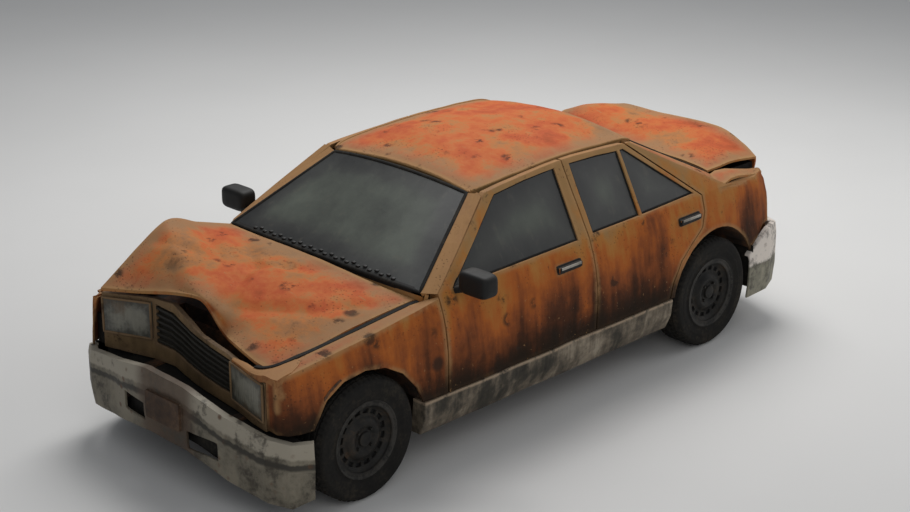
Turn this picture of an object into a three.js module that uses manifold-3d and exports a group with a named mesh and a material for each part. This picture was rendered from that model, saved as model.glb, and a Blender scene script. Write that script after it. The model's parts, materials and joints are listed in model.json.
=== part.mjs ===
// A crashed and rusted four-door saloon, in millimetres.
// The origin is on the ground under the middle of the car. +Z is up, the nose points to -Y and the
// car's left is +X.
import * as THREE from "three";
import { mergeVertices } from "three/addons/utils/BufferGeometryUtils.js";
import Module from "manifold-3d";

const wasm = await Module();
wasm.setup();

// Driving dimensions
const WHEELBASE = 2648;
const WHEELBASE_MIDDLE_Y = 4; // in the drawing
const ORIGIN_Y = 103; // the origin, under the middle of the car, in the drawing
// The drawing: each piece is drawn with the axles at these places along the car. A longer wheelbase
// then moves the nose forwards and the tail backwards, and lengthens the cabin between them.
const [FRONT_AXLE_Y, REAR_AXLE_Y] = [-1320, 1328];
const CABIN = { y0: -800, y1: 900 };
const TYRE_RADIUS = 315;
const TYRE_WIDTH = 185;
const RIM_RADIUS = 192;
const WHEEL_FACE_X = 814; // outer face of the tyres
const WHEEL_X = WHEEL_FACE_X - TYRE_WIDTH / 2;
const FRONT_ARCH_GAP = 45; // from the tyre to the edge of its arch
const REAR_ARCH_GAP = 73;
const FRONT_ARCH_RADIUS = TYRE_RADIUS + FRONT_ARCH_GAP;
const REAR_ARCH_RADIUS = TYRE_RADIUS + REAR_ARCH_GAP;
const SEAT_GAP = 0.3; // between two pieces that touch
const SHUT_GAP = 8; // between a door or lid and its opening
const SLOPE_GAP = 10; // the same, measured level, where the shut line slopes
const LUG_GAP = 0.6; // between a lid and the lugs under its hinge line
const SKIN = 10; // single sheet panels with their flanges
const DOOR_THICKNESS = 78;
const FRAME_THICKNESS = 30;
const GLASS_THICKNESS = 5;
const SILL_BOTTOM_Z = 215;
const SILL_TOP_Z = 397;
const BELT_Z = 900;
const GREENHOUSE_LEAN = 0.56; // inward run of the side for each unit of height above the belt

// Half width of the body at its widest, seen from above. Columns: y, half width.
const PLAN = [
  [-1860, 700], [-1815, 762], [-1740, 798], [-1600, 816], [-1320, 836], [-800, 850],
  [0, 852], [900, 849], [1330, 838], [1620, 818], [1850, 778], [1960, 738], [2040, 650],
];
// Height of the shoulder line that runs from the lamps to the tail. Columns: y, z.
const SHOULDER = [
  [-1860, 735], [-1740, 752], [-1320, 812], [-950, 858], [-800, 885], [-600, 900], [1260, 905], [1450, 925],
  [1650, 905], [1850, 862], [2040, 830],
];
// Inset of the side from its widest line. Columns: depth below the shoulder, inset.
const UPPER_INSET = [[0, 68], [100, 32], [200, 12], [340, 0]];
// Columns: z, inset.
const LOWER_INSET = [[215, 45], [300, 10], [390, 0]];

const COLOURS = {
  rust: [0xa8572b, 0.85, 0.15],
  rust_dark: [0x5a3421, 0.9, 0.2],
  trim_pale: [0x8d8578, 0.6, 0.4],
  black_plastic: [0x1d1d1c, 0.7, 0],
  tyre: [0x191918, 0.95, 0],
  rim: [0x2b2a27, 0.7, 0.4],
  glass: [0x3c4540, 0.25, 0],
  lamp_glass: [0x7f837b, 0.4, 0],
  tail_glass: [0x6e1c16, 0.4, 0],
  cloth: [0x4a443b, 0.95, 0],
  chassis: [0x3a2a20, 0.9, 0.3],
};

const car = new THREE.Group();
const materials = Object.fromEntries(
  Object.entries(COLOURS).map(([name, [color, roughness, metalness]]) => [
    name,
    new THREE.MeshStandardMaterial({ color, roughness, metalness }),
  ]),
);

// Value at t of a table whose first column rises.
function look(rows, t, column = 1) {
  if (t <= rows[0][0]) return rows[0][column];
  for (let i = 1; i < rows.length; i++) {
    const [a, b] = [rows[i - 1], rows[i]];
    if (t <= b[0]) return a[column] + ((b[column] - a[column]) * (t - a[0])) / (b[0] - a[0]);
  }
  return rows[rows.length - 1][column];
}

const mix = (a, b, t) => a + (b - a) * t;

// Place along the car of a place along the drawing.
function station(y) {
  const frontShift = WHEELBASE_MIDDLE_Y - WHEELBASE / 2 - FRONT_AXLE_Y;
  const rearShift = WHEELBASE_MIDDLE_Y + WHEELBASE / 2 - REAR_AXLE_Y;
  const share = Math.min(Math.max((y - CABIN.y0) / (CABIN.y1 - CABIN.y0), 0), 1);
  return y + mix(frontShift, rearShift, share) - ORIGIN_Y;
}

// Half width of the body side at a place on the length and a height.
function sideX(y, z) {
  const shoulder = look(SHOULDER, y);
  if (z > shoulder) return look(PLAN, y) - UPPER_INSET[0][1] - (z - shoulder) * GREENHOUSE_LEAN;
  const upper = look(UPPER_INSET, shoulder - z);
  return look(PLAN, y) - Math.max(upper, look(LOWER_INSET, z));
}

// Closed solid of a geometry, turned the right way out.
function solid(geometry) {
  const bare = geometry.clone();
  for (const name of Object.keys(bare.attributes)) if (name !== "position") bare.deleteAttribute(name);
  const merged = mergeVertices(bare, 1e-3);
  const triVerts = new Uint32Array(merged.index.array);
  const vertProperties = merged.attributes.position.array;
  const made = new wasm.Manifold(new wasm.Mesh({ numProp: 3, vertProperties, triVerts }));
  if (made.volume() > 0) return made;
  for (let i = 0; i < triVerts.length; i += 3) {
    [triVerts[i + 1], triVerts[i + 2]] = [triVerts[i + 2], triVerts[i + 1]];
  }
  return new wasm.Manifold(new wasm.Mesh({ numProp: 3, vertProperties, triVerts }));
}

function geometryOf(manifold) {
  const { numProp, vertProperties, triVerts } = manifold.getMesh();
  const points = [];
  for (let i = 0; i < vertProperties.length; i += numProp) points.push(...vertProperties.subarray(i, i + 3));
  const geometry = new THREE.BufferGeometry();
  geometry.setAttribute("position", new THREE.Float32BufferAttribute(points, 3));
  geometry.setIndex([...triVerts]);
  geometry.computeVertexNormals();
  return geometry;
}

// Adds a piece. One with an anchor keeps its length, and moves as its anchor's place does.
function node(name, shape, material, anchor = null) {
  const geometry = geometryOf(shape);
  const places = geometry.attributes.position;
  for (let i = 0; i < places.count; i++) {
    const y = places.getY(i);
    places.setY(i, anchor === null ? station(y) : y + station(anchor) - anchor);
  }
  geometry.computeVertexNormals();
  const mesh = new THREE.Mesh(geometry, materials[material]);
  mesh.name = name;
  car.add(mesh);
}

const join = (...shapes) => shapes.reduce((a, b) => a.add(b));
// The largest of the separate bodies of a shape.
const biggest = (shape) => shape.decompose().reduce((a, b) => (b.volume() > a.volume() ? b : a));
// The part of a bracket that stays clear of the piece it carries.
function seated(bracket, piece, [dx, dy, dz]) {
  return biggest(bracket.subtract(piece).subtract(piece.translate([dx, dy, dz])));
}
// The same piece for the car's other side.
const mirrored = (shape) => {
  const geometry = geometryOf(shape);
  geometry.scale(-1, 1, 1);
  return solid(geometry);
};

// A sheet over a grid of columns i and rows j, between an outer and an inner surface.
function slab(columns, rows, outer, inner) {
  const points = [];
  const index = [];
  const at = (side, i, j) => side * (columns + 1) * (rows + 1) + i * (rows + 1) + j;
  for (const surface of [outer, inner]) {
    for (let i = 0; i <= columns; i++) {
      for (let j = 0; j <= rows; j++) points.push(...surface(i, j));
    }
  }
  const quad = (a, b, c, d) => index.push(a, b, c, a, c, d);
  for (let i = 0; i < columns; i++) {
    for (let j = 0; j < rows; j++) {
      quad(at(0, i, j), at(0, i + 1, j), at(0, i + 1, j + 1), at(0, i, j + 1));
      quad(at(1, i, j), at(1, i, j + 1), at(1, i + 1, j + 1), at(1, i + 1, j));
    }
    quad(at(0, i, 0), at(1, i, 0), at(1, i + 1, 0), at(0, i + 1, 0));
    quad(at(0, i, rows), at(0, i + 1, rows), at(1, i + 1, rows), at(1, i, rows));
  }
  for (let j = 0; j < rows; j++) {
    quad(at(0, 0, j), at(0, 0, j + 1), at(1, 0, j + 1), at(1, 0, j));
    quad(at(0, columns, j), at(1, columns, j), at(1, columns, j + 1), at(0, columns, j + 1));
  }
  const geometry = new THREE.BufferGeometry();
  geometry.setAttribute("position", new THREE.Float32BufferAttribute(points, 3));
  geometry.setIndex(index);
  return solid(geometry);
}

// A box between two corners.
function box([x0, y0, z0], [x1, y1, z1]) {
  const geometry = new THREE.BoxGeometry(x1 - x0, y1 - y0, z1 - z0);
  geometry.translate((x0 + x1) / 2, (y0 + y1) / 2, (z0 + z1) / 2);
  return solid(geometry);
}

// An outline of [y, z] points carried along x from one place to another.
function prismX(outline, x0, x1) {
  const shape = new THREE.Shape(outline.map(([y, z]) => new THREE.Vector2(y, z)));
  const geometry = new THREE.ExtrudeGeometry(shape, { depth: x1 - x0, bevelEnabled: false });
  // The outline's first axis turns to Y, its second to Z and its depth to X.
  geometry.applyMatrix4(new THREE.Matrix4().set(0, 0, 1, x0, 1, 0, 0, 0, 0, 1, 0, 0, 0, 0, 0, 1));
  return solid(geometry);
}

// A round bar along x.
function rodX(radius, x0, x1, y, z, segments = 24) {
  const geometry = new THREE.CylinderGeometry(radius, radius, x1 - x0, segments);
  geometry.rotateZ(Math.PI / 2);
  geometry.translate((x0 + x1) / 2, y, z);
  return solid(geometry);
}

// A square or round bar between two points.
function bar(from, to, radius, sides = 4) {
  const [a, b] = [new THREE.Vector3(...from), new THREE.Vector3(...to)];
  const geometry = new THREE.CylinderGeometry(radius, radius, a.distanceTo(b), sides);
  const turn = new THREE.Quaternion().setFromUnitVectors(
    new THREE.Vector3(0, 1, 0),
    b.clone().sub(a).normalize(),
  );
  geometry.applyQuaternion(turn);
  geometry.translate((from[0] + to[0]) / 2, (from[1] + to[1]) / 2, (from[2] + to[2]) / 2);
  return solid(geometry);
}

// Doors
const DOOR_FRONT_Y = CABIN.y0;
const PILLAR_B_Y = 300;
const DOOR_BOTTOM_Z = SILL_TOP_Z + SHUT_GAP;
// Top edge of the doors' frames. Columns: y, z.
const DOOR_TOP = [[-300, 1250], [-230, 1258], [234, 1284], [400, 1284], [780, 1266], [900, 1250]];
// Edges of the doors' outlines. Columns: z, y.
const FRONT_DOOR_FRONT = [[400, DOOR_FRONT_Y], [905, DOOR_FRONT_Y], [1258, -290]];
const REAR_DOOR_REAR = [
  [400, 905], [500, 940], [600, 1008], [680, 1108], [740, 1204], [820, 1243], [905, 1252], [1266, 795],
];
// Openings for the glass. Points: y, z.
const FRONT_WINDOW = [[-704, 906], [217, 912], [232, 1258], [0, 1250], [-233, 1232]];
const REAR_WINDOW = [[338, 918], [716, 920], [728, 1240], [560, 1252], [347, 1257]];
const QUARTER_WINDOW = [[738, 920], [1196, 926], [778, 1240], [750, 1240]];

const DOOR_LEVELS = [DOOR_BOTTOM_Z, 500, 560, 600, 680, 740, 820, 870, BELT_Z + 5, 1080];
const DOOR_TOP_LEVEL = 1266;
const DOOR_BEVEL = 15; // the inner skin stops short at the rear edge, so that the door swings clear
// Thickness of a door with its frame. Columns: z, thickness.
const DOOR_DEPTH = [[870, DOOR_THICKNESS], [905, 48], [1080, FRAME_THICKNESS]];

// A door with its window frame. front and rear give the outline's y at a height.
function doorShell(front, rear, windows, columns) {
  const rows = DOOR_LEVELS.length;
  const place = (i, j) => {
    const atTop = j === rows;
    const topZ = (y) => look(DOOR_TOP, y);
    const z = DOOR_LEVELS[j];
    const level = atTop ? DOOR_TOP_LEVEL : z;
    const y = mix(front(level), rear(level), i / columns);
    return [y, atTop ? topZ(y) : z];
  };
  const outer = (i, j) => {
    const [y, z] = place(i, j);
    return [sideX(y, z), y, z];
  };
  const inner = (i, j) => {
    const [y, z] = place(i, j);
    return [sideX(y, z) - look(DOOR_DEPTH, z), y - (i === columns ? DOOR_BEVEL : 0), z];
  };
  let shell = slab(columns, rows, outer, inner);
  for (const window of windows) shell = shell.subtract(prismX(window, 400, 900));
  return shell;
}

// A flat outline moved inwards by a distance, corner by corner.
function shrunk(outline, distance) {
  const centre = outline.reduce(([a, b], [y, z]) => [a + y / outline.length, b + z / outline.length], [0, 0]);
  return outline.map(([y, z], i) => {
    const before = outline[(i + outline.length - 1) % outline.length];
    const after = outline[(i + 1) % outline.length];
    const normal = ([p, q], [r, s]) => {
      const [u, v] = [r - p, s - q];
      const length = Math.hypot(u, v);
      return [-v / length, u / length];
    };
    const [n1, n2] = [normal(before, [y, z]), normal([y, z], after)];
    const sign = n1[0] * (centre[0] - y) + n1[1] * (centre[1] - z) > 0 ? 1 : -1;
    const scale = (sign * distance) / (1 + n1[0] * n2[0] + n1[1] * n2[1]);
    return [y + (n1[0] + n2[0]) * scale, z + (n1[1] + n2[1]) * scale];
  });
}

const GLASS_SET_BACK = 12; // from the outside of the frame to the glass
// Panes that fill the openings of a door, with a strip below the divider that joins them.
function doorGlass(outlines) {
  const [low, high] = [
    Math.min(...outlines.flat().map(([y]) => y)) - 20,
    Math.max(...outlines.flat().map(([y]) => y)) + 20,
  ];
  const sheet = (depth) => (i, j) => {
    const y = mix(low, high, i / 4);
    const z = mix(895, 1270, j);
    return [look(PLAN, y) - UPPER_INSET[0][1] - (z - BELT_Z - 2) * GREENHOUSE_LEAN - depth, y, z];
  };
  const pane = slab(4, 1, sheet(GLASS_SET_BACK), sheet(GLASS_SET_BACK + GLASS_THICKNESS));
  return join(...outlines.map((o) => pane.intersect(prismX(shrunk(o, SEAT_GAP), 400, 900))));
}

const frontDoor = doorShell(
  (z) => look(FRONT_DOOR_FRONT, z),
  () => PILLAR_B_Y - SHUT_GAP / 2,
  [FRONT_WINDOW],
  6,
);
const rearDoor = doorShell(
  () => PILLAR_B_Y + SHUT_GAP / 2,
  (z) => look(REAR_DOOR_REAR, z),
  [REAR_WINDOW, QUARTER_WINDOW],
  5,
);

// Pull handles. Places: y and z of the middle.
const HANDLE = { length: 170, height: 26, inside: 20, outside: 14 };
function handle(y, z) {
  const x = sideX(y, z);
  const [halfLength, halfHeight] = [HANDLE.length / 2, HANDLE.height / 2];
  return box(
    [x - HANDLE.inside, y - halfLength, z - halfHeight],
    [x + HANDLE.outside, y + halfLength, z + halfHeight],
  );
}
const FRONT_HANDLE = [105, 810];
const REAR_HANDLE = [1106, 812];

// Door mirrors
const MIRROR = { x0: 815, x1: 1000, y0: -722, y1: -604, z0: 892, z1: 1016 };
// How far the housing's front face lies inside its rear face
const MIRROR_TAPER = { inner: 25, outer: 22, bottom: 18, top: 24 };
const MIRROR_FOOT = { y1: -672, z0: 868, z1: 930, overlap: 60, standoff: 1.4 };
function mirrorHousing() {
  const m = MIRROR;
  const taper = MIRROR_TAPER;
  const housing = slab(
    1, 1,
    (i, j) => [mix(m.x0, m.x1, i), m.y1, mix(m.z0, m.z1, j)],
    (i, j) => [
      mix(m.x0 + taper.inner, m.x1 - taper.outer, i), m.y0, mix(m.z0 + taper.bottom, m.z1 - taper.top, j),
    ],
  );
  const foot = MIRROR_FOOT;
  const skin = sideX(m.y0, foot.z0) + SEAT_GAP + foot.standoff;
  return join(housing, box([skin, m.y0, foot.z0], [m.x0 + foot.overlap, foot.y1, foot.z1]));
}

for (const [side, turn] of [["left", (s) => s], ["right", mirrored]]) {
  node("door_front_" + side, turn(join(frontDoor, handle(...FRONT_HANDLE))), "rust");
  node("door_rear_" + side, turn(join(rearDoor, handle(...REAR_HANDLE))), "rust");
  node("glass_front_" + side, turn(doorGlass([FRONT_WINDOW])), "glass");
  node("glass_rear_" + side, turn(doorGlass([REAR_WINDOW])), "glass");
  node("glass_quarter_" + side, turn(doorGlass([QUARTER_WINDOW])), "glass");
  node("mirror_" + side, turn(mirrorHousing()), "black_plastic", DOOR_FRONT_Y);
}

// Hood. One row for each column across the car: x at the back, x at the front, then y and z
// of the back edge, the middle, the fold and the front edge.
const HOOD = [
  [-700, -680, -888, 915, -1110, 985, -1330, 1044, -1745, 800],
  [-450, -450, -915, 925, -1180, 962, -1440, 992, -1672, 828],
  [-200, -200, -928, 932, -1230, 935, -1530, 935, -1620, 872],
  [-30, -30, -932, 934, -1250, 925, -1570, 893, -1612, 880],
  [120, 110, -932, 930, -1250, 905, -1530, 830, -1605, 752],
  [300, 280, -925, 915, -1260, 885, -1500, 815, -1672, 762],
  [500, 470, -908, 893, -1270, 858, -1500, 795, -1700, 735],
  [682, 605, -880, 874, -1280, 832, -1500, 782, -1712, 734],
];
const LID_SKIN = 14;

function patch(rows, perRow, skin) {
  const top = (i, j) => {
    const row = rows[i];
    return [mix(row[0], row[1], j / (perRow - 1)), row[2 + 2 * j], row[3 + 2 * j]];
  };
  const under = (i, j) => {
    const [x, y, z] = top(i, j);
    return [x, y, z - skin];
  };
  return slab(rows.length - 1, perRow - 1, top, under);
}
const hood = patch(HOOD, 4, LID_SKIN);
node("hood", hood, "rust");

// Trunk lid, in the same columns: front edge, middle and rear edge.
const TRUNK_LID = [
  [-600, -560, 1510, 955, 1640, 1035, 1985, 960],
  [-500, -470, 1520, 966, 1730, 1060, 2050, 1010],
  [-210, -210, 1530, 974, 1780, 1035, 2056, 1010],
  [250, 250, 1530, 974, 1780, 1020, 2056, 1020],
  [500, 480, 1520, 964, 1760, 990, 2010, 972],
  [606, 612, 1510, 952, 1740, 955, 1962, 930],
];
const LID_FLANGE = 70; // turned down rear edge of the trunk lid
const lidFlange = slab(
  TRUNK_LID.length - 1, 1,
  (i, j) => [TRUNK_LID[i][1], TRUNK_LID[i][6], TRUNK_LID[i][7] - j * LID_FLANGE - 1],
  (i, j) => [TRUNK_LID[i][1] * 0.99, TRUNK_LID[i][6] - LID_SKIN, TRUNK_LID[i][7] - j * LID_FLANGE - 1],
);
const trunkLid = join(patch(TRUNK_LID, 3, LID_SKIN), lidFlange);
node("trunk_lid", trunkLid, "rust");

// Roof. Columns: y, half width, z of the edge, crown in the middle.
const ROOF = [
  [-310, 503, 1246, 42], [-225, 528, 1262, 52], [0, 534, 1280, 74], [350, 534, 1290, 70],
  [800, 530, 1275, 62], [935, 503, 1240, 45],
];
const ROOF_SKIN = 14;
const ROOF_CURVE = 2.2; // power of the cross section
const ROOF_COLUMNS = 8;
function roofPoint(y, u, depth) {
  const [w, edge, crown] = [look(ROOF, y, 1), look(ROOF, y, 2), look(ROOF, y, 3)];
  return [u * w, y, edge + crown * (1 - Math.abs(u) ** ROOF_CURVE) - depth];
}
const roofSheet = (depth) => (i, j) => roofPoint(ROOF[i][0], (2 * j) / ROOF_COLUMNS - 1, depth);
node("roof", slab(ROOF.length - 1, ROOF_COLUMNS, roofSheet(0), roofSheet(ROOF_SKIN)), "rust");

// Screens. Points: bottom corner, bottom middle, top corner, top middle.
const WINDSHIELD = [[714, -868, 912], [0, -902, 925], [497, -318, 1236], [0, -330, 1272]];
const BACKLIGHT = [[603.5, 1482, 952], [0, 1504, 970], [508.5, 942, 1228], [0, 950, 1262]];
function screen([low, lowMiddle, high, highMiddle], depth) {
  const sheet = (offset) => (i, j) => {
    const u = i / 4 - 1;
    const corner = [0, 1, 2].map((k) => mix(low[k], high[k], j / 2));
    const middle = [0, 1, 2].map((k) => mix(lowMiddle[k], highMiddle[k], j / 2));
    const bow = 1 - u * u;
    return [u * corner[0], mix(corner[1], middle[1], bow), mix(corner[2], middle[2], bow) - offset];
  };
  return slab(8, 2, sheet(0), sheet(depth));
}
node("windshield", screen(WINDSHIELD, GLASS_THICKNESS), "glass");
node("rear_window", screen(BACKLIGHT, GLASS_THICKNESS), "glass");

// Front fender
const FENDER_REAR_Y = DOOR_FRONT_Y - SHUT_GAP;
const LINER_GAP = 12; // from the edge of a wheel arch to the wheel house behind it
const HOOD_EDGE = {
  left: [[-1720, 650], [-1500, 662], [-1280, 680], [-960, 700], [-880, 735], [-808, 774]],
  right: [[-1720, 750], [-1690, 748], [-1600, 715], [-1280, 704], [-960, 712], [-880, 735], [-808, 774]],
};
const FENDER_COLUMNS = [
  [FENDER_REAR_Y, DOOR_BOTTOM_Z], [-880, DOOR_BOTTOM_Z],
  ...[15, 30, 50, 70, 90, 110, 130, 154].map((angle) => [
    FRONT_AXLE_Y + FRONT_ARCH_RADIUS * Math.cos((angle * Math.PI) / 180),
    TYRE_RADIUS + FRONT_ARCH_RADIUS * Math.sin((angle * Math.PI) / 180),
  ]),
  [-1720, 475],
];
// Wrap of the fender round the nose. Columns: y, half width.
const FENDER_WRAP = {
  left: [[-1770, 776], [-1798, 720], [-1790, 642]],
  right: [[-1750, 786], [-1768, 748]],
};
const FENDER_STEPS = [0, 0.2, 0.45, 0.7, 0.85, 1];
function fender(wrap, hoodEdge) {
  const rows = FENDER_STEPS.length;
  const columns = [...FENDER_COLUMNS, ...wrap.map(([y, x]) => [y, 475, x])];
  const point = (i, j) => {
    const [y, bottom, width] = columns[i];
    const shoulder = look(SHOULDER, y);
    const z = mix(bottom, shoulder, FENDER_STEPS[Math.min(j, rows - 1)]);
    const x = width ? width - (look(PLAN, y) - sideX(y, z)) * Math.min(width / 776, 1) ** 30 : sideX(y, z);
    if (j < rows) return [x, y, z];
    return width ? [x - 8, y + 40, shoulder + 2] : [look(hoodEdge, y), y, shoulder + 6];
  };
  const inner = (i, j) => {
    const [x, y, z] = point(i, j);
    const wrapped = columns[i][2] && columns[i][2] < 776 ? 1 : 0;
    const inward = SKIN * (j < rows ? 1 : 0);
    return [x - inward * (1 - wrapped), y + inward * wrapped, z - SKIN * (j >= rows - 1 ? 1 : 0)];
  };
  return slab(columns.length - 1, rows, point, inner);
}

// Rear quarter with the rear roof pillar
const QUARTER_LEVELS = [...DOOR_LEVELS, 1262];
// Rear edge. Columns: z, y.
const QUARTER_REAR = [
  [405, 1900], [560, 1925], [765, 1945], [850, 1945], [880, 1900], [905, 1500], [974, 1358], [1262, 838],
];
const QUARTER_COLUMNS = 6;
const TAIL_LINE = [[1420, 905], [1560, 926], [1650, 918], [1850, 872], [1950, 856]];
const LID_EDGE = [[1420, 640], [1500, 622], [1950, 632]];
const BUMPER_GAP = 6;
const REAR_BUMPER_TOP = [[1632, 442], [1860, 573], [2000, 575]];
function quarter() {
  const side = (depth) => (i, j) => {
    const z = QUARTER_LEVELS[j];
    const front = look(REAR_DOOR_REAR, z) + SLOPE_GAP;
    const y = mix(front, look(QUARTER_REAR, z), i / QUARTER_COLUMNS);
    return [sideX(y, z) - depth, y, z];
  };
  const panel = slab(QUARTER_COLUMNS, QUARTER_LEVELS.length - 1, side(0), side(SKIN));
  const deck = (depth) => (i, j) => {
    const [y, z] = TAIL_LINE[i];
    const outer = sideX(y, z) - 4;
    return [mix(outer, look(LID_EDGE, y), j / 2), y, z + (j > 0 ? 14 : -2) - depth];
  };
  const deckStrip = slab(TAIL_LINE.length - 1, 2, deck(0), deck(SKIN + 4));
  const [foot, head] = [[728, 1446, 924], [577, 838, 1258]];
  const [middleFoot, middleHead] = [[668, 1478, 944], [537, 828, 1262]];
  const [glassFoot, glassHead] = [[604, 1482, 952], [509, 942, 1228]];
  const lines = [[foot, head], [middleFoot, middleHead], [glassFoot, glassHead]];
  const back = (depth) => (i, j) => {
    const [x, y, z] = [0, 1, 2].map((k) => mix(lines[j][0][k], lines[j][1][k], i / 3));
    return [x, y, z - depth];
  };
  const pillarBack = slab(3, 2, back(0), back(SKIN + 8));
  const arch = rodX(REAR_ARCH_RADIUS, 400, 900, REAR_AXLE_Y, TYRE_RADIUS, 40);
  const underBumper = prismX(
    [[1560, 300], ...REAR_BUMPER_TOP.map(([y, z]) => [y, z + BUMPER_GAP]), [2100, 300]],
    400, 900,
  );
  return join(panel, deckStrip, pillarBack).subtract(arch).subtract(underBumper);
}

// Sill with its flat jacking face underneath
const SILL = { y0: -962, y1: 938, depth: 90 };
function sill() {
  const levels = [SILL_BOTTOM_Z, 300, 385, SILL_TOP_Z];
  const side = (depth) => (i, j) => {
    const y = mix(SILL.y0, SILL.y1, i / 4);
    const z = levels[j];
    return [look(PLAN, y) - look(LOWER_INSET, z) - 3 * (j === 3) - depth, y, z];
  };
  return slab(4, levels.length - 1, side(0), side(SILL.depth));
}

const quarterPanel = quarter();
for (const [side, turn] of [["left", (s) => s], ["right", mirrored]]) {
  node("fender_front_" + side, turn(fender(FENDER_WRAP[side], HOOD_EDGE[side])), "rust");
  node("quarter_rear_" + side, turn(quarterPanel), "rust");
  node("sill_" + side, turn(sill()), "rust_dark");
}

const NOSE_BOTTOM_Z = 450;
// Nose. Columns: x, y, bottom z, top z.
const NOSE = [
  [-698, -1735, 470, 766], [-420, -1622, NOSE_BOTTOM_Z, 780], [-270, -1612, NOSE_BOTTOM_Z, 790],
  [-60, -1670, NOSE_BOTTOM_Z, 765], [40, -1690, NOSE_BOTTOM_Z, 738], [300, -1722, NOSE_BOTTOM_Z, 716],
  [500, -1765, NOSE_BOTTOM_Z, 708], [628, -1786, 455, 704],
];
const NOSE_DEPTH = 26;
const LAMP_DEPTH = 50;
// Openings in the nose. Columns: inner x, outer x, then bottom and top z at the inner and the outer end.
const LAMPS = {
  left: [312, 612, 505, 694, 500, 690],
  right: [-430, -688, 560, 754, 560, 744],
};
const GRILLE_EDGE = [-408, 292, 540, 752, 520, 694];
// Strip of the nose between two places across, from one depth to another.
function noseStrip([xa, xb, lowA, highA, lowB, highB], front, back, steps = 4) {
  const sheet = (depth) => (i, j) => {
    const t = i / steps;
    const x = mix(xa, xb, t);
    return [x, look(NOSE, x) + depth, mix(mix(lowA, lowB, t), mix(highA, highB, t), j)];
  };
  return slab(steps, 1, sheet(front), sheet(back));
}
function nosePanel() {
  const sheet = (depth) => (i, j) => [NOSE[i][0], NOSE[i][1] + depth, mix(NOSE[i][2], NOSE[i][3], j)];
  const cutters = [LAMPS.left, LAMPS.right, GRILLE_EDGE].map((edge) => noseStrip(edge, -100, 100, 6));
  return cutters.reduce((a, b) => a.subtract(b), slab(NOSE.length - 1, 1, sheet(0), sheet(NOSE_DEPTH)));
}
node("nose_panel", nosePanel(), "rust");
const inset = ([xa, xb, ...rest], gap) => [
  xa + Math.sign(xb - xa) * gap, xb - Math.sign(xb - xa) * gap,
  rest[0] + gap, rest[1] - gap, rest[2] + gap, rest[3] - gap,
];
for (const side of ["left", "right"]) {
  node("headlight_" + side, noseStrip(inset(LAMPS[side], SEAT_GAP), -6, LAMP_DEPTH), "lamp_glass");
}
const GRILLE_SLATS = 6;
function grille() {
  const edge = inset(GRILLE_EDGE, SEAT_GAP);
  const parts = [noseStrip(edge, 20, 24, 6)];
  for (let k = 0; k < GRILLE_SLATS; k++) {
    const [low, high] = [k / GRILLE_SLATS + 0.04, k / GRILLE_SLATS + 0.1];
    const slat = [edge[0], edge[1], mix(edge[2], edge[3], low), mix(edge[2], edge[3], high),
      mix(edge[4], edge[5], low), mix(edge[4], edge[5], high)];
    parts.push(noseStrip(slat, 2, 22, 6));
  }
  return join(...parts);
}
node("grille", grille(), "black_plastic");

// Bumpers. Columns: x, y, bottom z, top z.
const FRONT_BUMPER = [
  [-806, -1700, 185, 462], [-800, -1765, 180, 468], [-700, -1825, 176, 476], [-420, -1868, 200, 520],
  [-150, -1898, 235, 570], [150, -1902, 235, 560], [430, -1888, 165, 500], [680, -1845, 120, 452],
  [800, -1790, 112, 440], [868, -1705, 160, 446],
];
const REAR_BUMPER = [
  [-822, 1672, 184, 448], [-820, 1860, 190, 566], [-768, 1990, 200, 568], [-480, 2085, 205, 566],
  [0, 2118, 205, 566], [480, 2085, 205, 566], [768, 1990, 200, 568], [820, 1860, 190, 566],
  [822, 1672, 184, 448],
];
const BUMPER_SKIN = 14;
const BUMPER_LIP = 46; // width of the flat lip on top
// A bumper along a path. facing is 1 where it faces backwards and -1 where it faces forwards.
function bumper(path, facing) {
  const normals = path.map((row, i) => {
    const [before, after] = [path[Math.max(i - 1, 0)], path[Math.min(i + 1, path.length - 1)]];
    const [u, v] = [after[0] - before[0], after[1] - before[1]];
    const length = Math.hypot(u, v) * facing;
    return [-v / length, u / length];
  });
  // Section: columns are the inward run and the share of the height.
  const section = [[10, 0], [0, 0.3], [0, 0.85], [8, 1], [BUMPER_LIP, 1]];
  const sheet = (skin) => (i, j) => {
    const [run, share] = section[j];
    const [x, y, low, high] = path[i];
    const inward = run + (j < 4 ? skin : 0);
    return [x - normals[i][0] * inward, y - normals[i][1] * inward, mix(low, high, share) - (j >= 3 ? skin : 0)];
  };
  return slab(path.length - 1, section.length - 1, sheet(0), sheet(BUMPER_SKIN));
}
// Intakes through the front bumper. Columns: x from, x to, z from, z to.
const INTAKES = [[-360, -170, 285, 380], [165, 380, 250, 345]];
const PLATE = [-130, 130, 330, 470];
const PLATE_Y = [-1912, -1890];
const INTAKE_Y = [-2000, -1750];
const intakes = INTAKES.map(([x0, x1, z0, z1]) => box([x0, INTAKE_Y[0], z0], [x1, INTAKE_Y[1], z1]));
const plate = box([PLATE[0], PLATE_Y[0], PLATE[2]], [PLATE[1], PLATE_Y[1], PLATE[3]]);
const frontBumper = intakes.reduce((a, b) => a.subtract(b), join(bumper(FRONT_BUMPER, -1), plate));
const rearBumper = bumper(REAR_BUMPER, 1);
node("bumper_front", frontBumper, "trim_pale");
node("bumper_rear", rearBumper, "trim_pale");

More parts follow.
